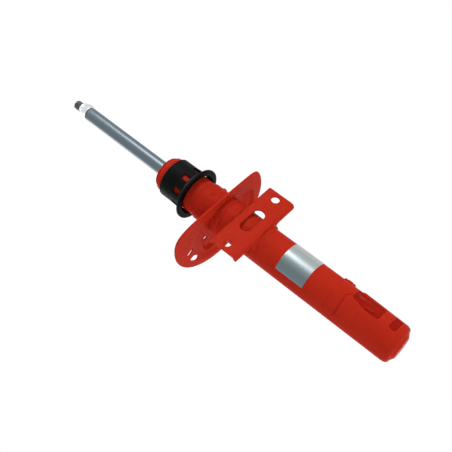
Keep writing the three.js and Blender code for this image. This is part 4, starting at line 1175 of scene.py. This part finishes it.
carrier_mesh = carved(grid_mesh(turn(carrier_profile, 240), "carrier"), windows, bevel=0.3)
piece("carrier", carrier_mesh, black_plastic, "strut_body", "boot_carrier", 40)

# %% [markdown]
# ## Closure and rod
# The tube's rolled lip holds a steel cap over the seal, with a small groove between the two, and
# the rod comes out through the cap. Both are made on a lathe, and a turned profile is the shortest
# way to write that down.

# %% The closure cap
CAP_FOOT, CAP_TOP, CAP_BORE, CAP_R = 403.5, 409.4, 11.1, 23.4
cap_profile = np.vstack([
    # the underside, and the flank that leaves a groove beside the tube's lip
    [(CAP_BORE, CAP_FOOT), (CAP_R, CAP_FOOT), (CAP_R, 405.6), (23.8, 405.9)],
    # the round rim, the flat top, and the mouth round the rod
    arc(21.6, 407.0, 2.4, -8, 90, 10),
    line((18.5, CAP_TOP), (12.6, CAP_TOP), 4),
    arc(12.1, 408.4, 1, 90, 180, 5),
])
cap_mesh = grid_mesh(turn(cap_profile, 200), "end_cap")
piece("end_cap", cap_mesh, shaded_cap_paint, "strut_body", "closure_cap")

# %% [markdown]
# The rod is thinner at its foot, where the piston sits inside the tube, so that the piston rests
# against a step. Its shoulder at the top is chamfered, so that it doesn't cut the strut's mount.

# %% The rod
ROD_R, SHOULDER_Z, STUD_R, STUD_TOP = 10.4, 578, 7.0, 608
ROD_FOOT, PISTON_SEAT, PISTON_SEAT_R = 325.6, 358.4, 6
rod_profile = np.vstack([
    [(0, ROD_FOOT), (5, ROD_FOOT), (PISTON_SEAT_R, 326.6)],
    [(PISTON_SEAT_R, PISTON_SEAT), (ROD_R, PISTON_SEAT)],
    line((ROD_R, 360), (ROD_R, SHOULDER_Z - 2.4), 12),
    arc(ROD_R - 1.2, SHOULDER_Z - 2.2, 1.2, 0, 45, 4),
    [(ROD_R - 1.9, SHOULDER_Z - 0.2), (ROD_R - 2.4, SHOULDER_Z), (0, SHOULDER_Z)],
])
rod_mesh = grid_mesh(turn(rod_profile, 160), "rod", along=False)
piece("rod", rod_mesh, ground_steel, "rod", "piston_rod")

# %% [markdown]
# ## Stud and nut
# The stud has a metric thread. It could be a ridge wound round a core, but then two skins cross
# each other. Worked into the turned surface it stays one skin: a thread is the radius less a
# zigzag that runs up with the angle. At a fixed height the zigzag moves on by one pitch for each
# turn, which makes it a helix.


# %% The stud's thread
PITCH, THREAD_DEPTH = 1.5, 0.9


def threaded(r, z, a):
    """The radius less the depth of the thread: a zigzag of z / pitch - a / 360 degrees with
    flattened crests, which fades out near the shoulder and at the tip."""
    zigzag = np.abs(((z / PITCH - a / (2 * np.pi)) % 1) * 2 - 1)
    depth = THREAD_DEPTH * np.clip(zigzag * 1.25 - 0.12, 0, 1)
    cut = (z > SHOULDER_Z + 2.4) & (z < STUD_TOP - 0.2) & (r > 4)
    fade = ease((z - SHOULDER_Z - 2.4) / 1.5)
    return np.where(cut, np.minimum(r, STUD_R - depth * fade), r)


stud_profile = np.vstack([
    [(0, SHOULDER_Z - 0.05), (STUD_R - 0.7, SHOULDER_Z - 0.05), (STUD_R - 0.7, SHOULDER_Z + 1.4)],
    line((STUD_R, SHOULDER_Z + 2.1), (STUD_R, STUD_TOP - 1.6), 260),
    line((STUD_R, STUD_TOP - 1.6), (STUD_R - 1.6, STUD_TOP), 8),
    [(STUD_R - 1.6, STUD_TOP), (0, STUD_TOP)],
])
stud_mesh = grid_mesh(turn(stud_profile, 96, threaded), "stud", along=False)
piece("stud", stud_mesh, stud_steel, "rod", "piston_rod", 60)

# %% [markdown]
# The nut is turned from a hexagonal bar and never goes beyond it, so its corners get their round
# chamfers by themselves. A nylon ring in its collar grips the thread.

# %% Nut and insert
ACROSS_FLATS, NUT_BORE, NUT_CORNER_R = 21, 7.3, 12.6
NUT_FOOT, FLATS_FROM, FLATS_TO, COLLAR_FOOT = 578.3, 579.7, 588.4, 589.95


def hexed(r, z, a):
    """The radius, but never beyond the nut's hexagon, which has a corner in front."""
    return np.minimum(r, ACROSS_FLATS / 2 / np.cos(wrapped(a * 6 + np.pi) / 6))


nut_profile = np.vstack([
    # the seating face, a chamfer, the six flats, and the chamfer above them
    [(NUT_BORE, NUT_FOOT), (10.2, NUT_FOOT), (NUT_CORNER_R, FLATS_FROM)],
    line((NUT_CORNER_R, FLATS_FROM), (NUT_CORNER_R, FLATS_TO), 3),
    [(NUT_CORNER_R, FLATS_TO), (10.4, 589.8), (10.0, 589.85), (9.8, 590.1), (9.8, 592.6)],
    # the collar's rolled edge, which holds the nylon down, and its inside
    arc(9.2, 592.8, 0.6, 0, 140, 7),
    [(8.3, 593.0), (8.3, 592.8), (8.9, 592.75), (8.9, COLLAR_FOOT), (NUT_BORE, COLLAR_FOOT)],
])
nut_mesh = grid_mesh(turn(nut_profile, 192, hexed), "nut")
piece("nut", nut_mesh, zinc, "rod", "top_nut", 25)
insert_profile = rounded([(7.15, 590.1), (8.75, 590.1), (8.75, 592.65), (7.15, 592.65)], 0.2, 4)
insert_mesh = grid_mesh(turn(insert_profile, 120), "insert")
piece("insert", insert_mesh, blue_nylon, "rod", "nut_insert")
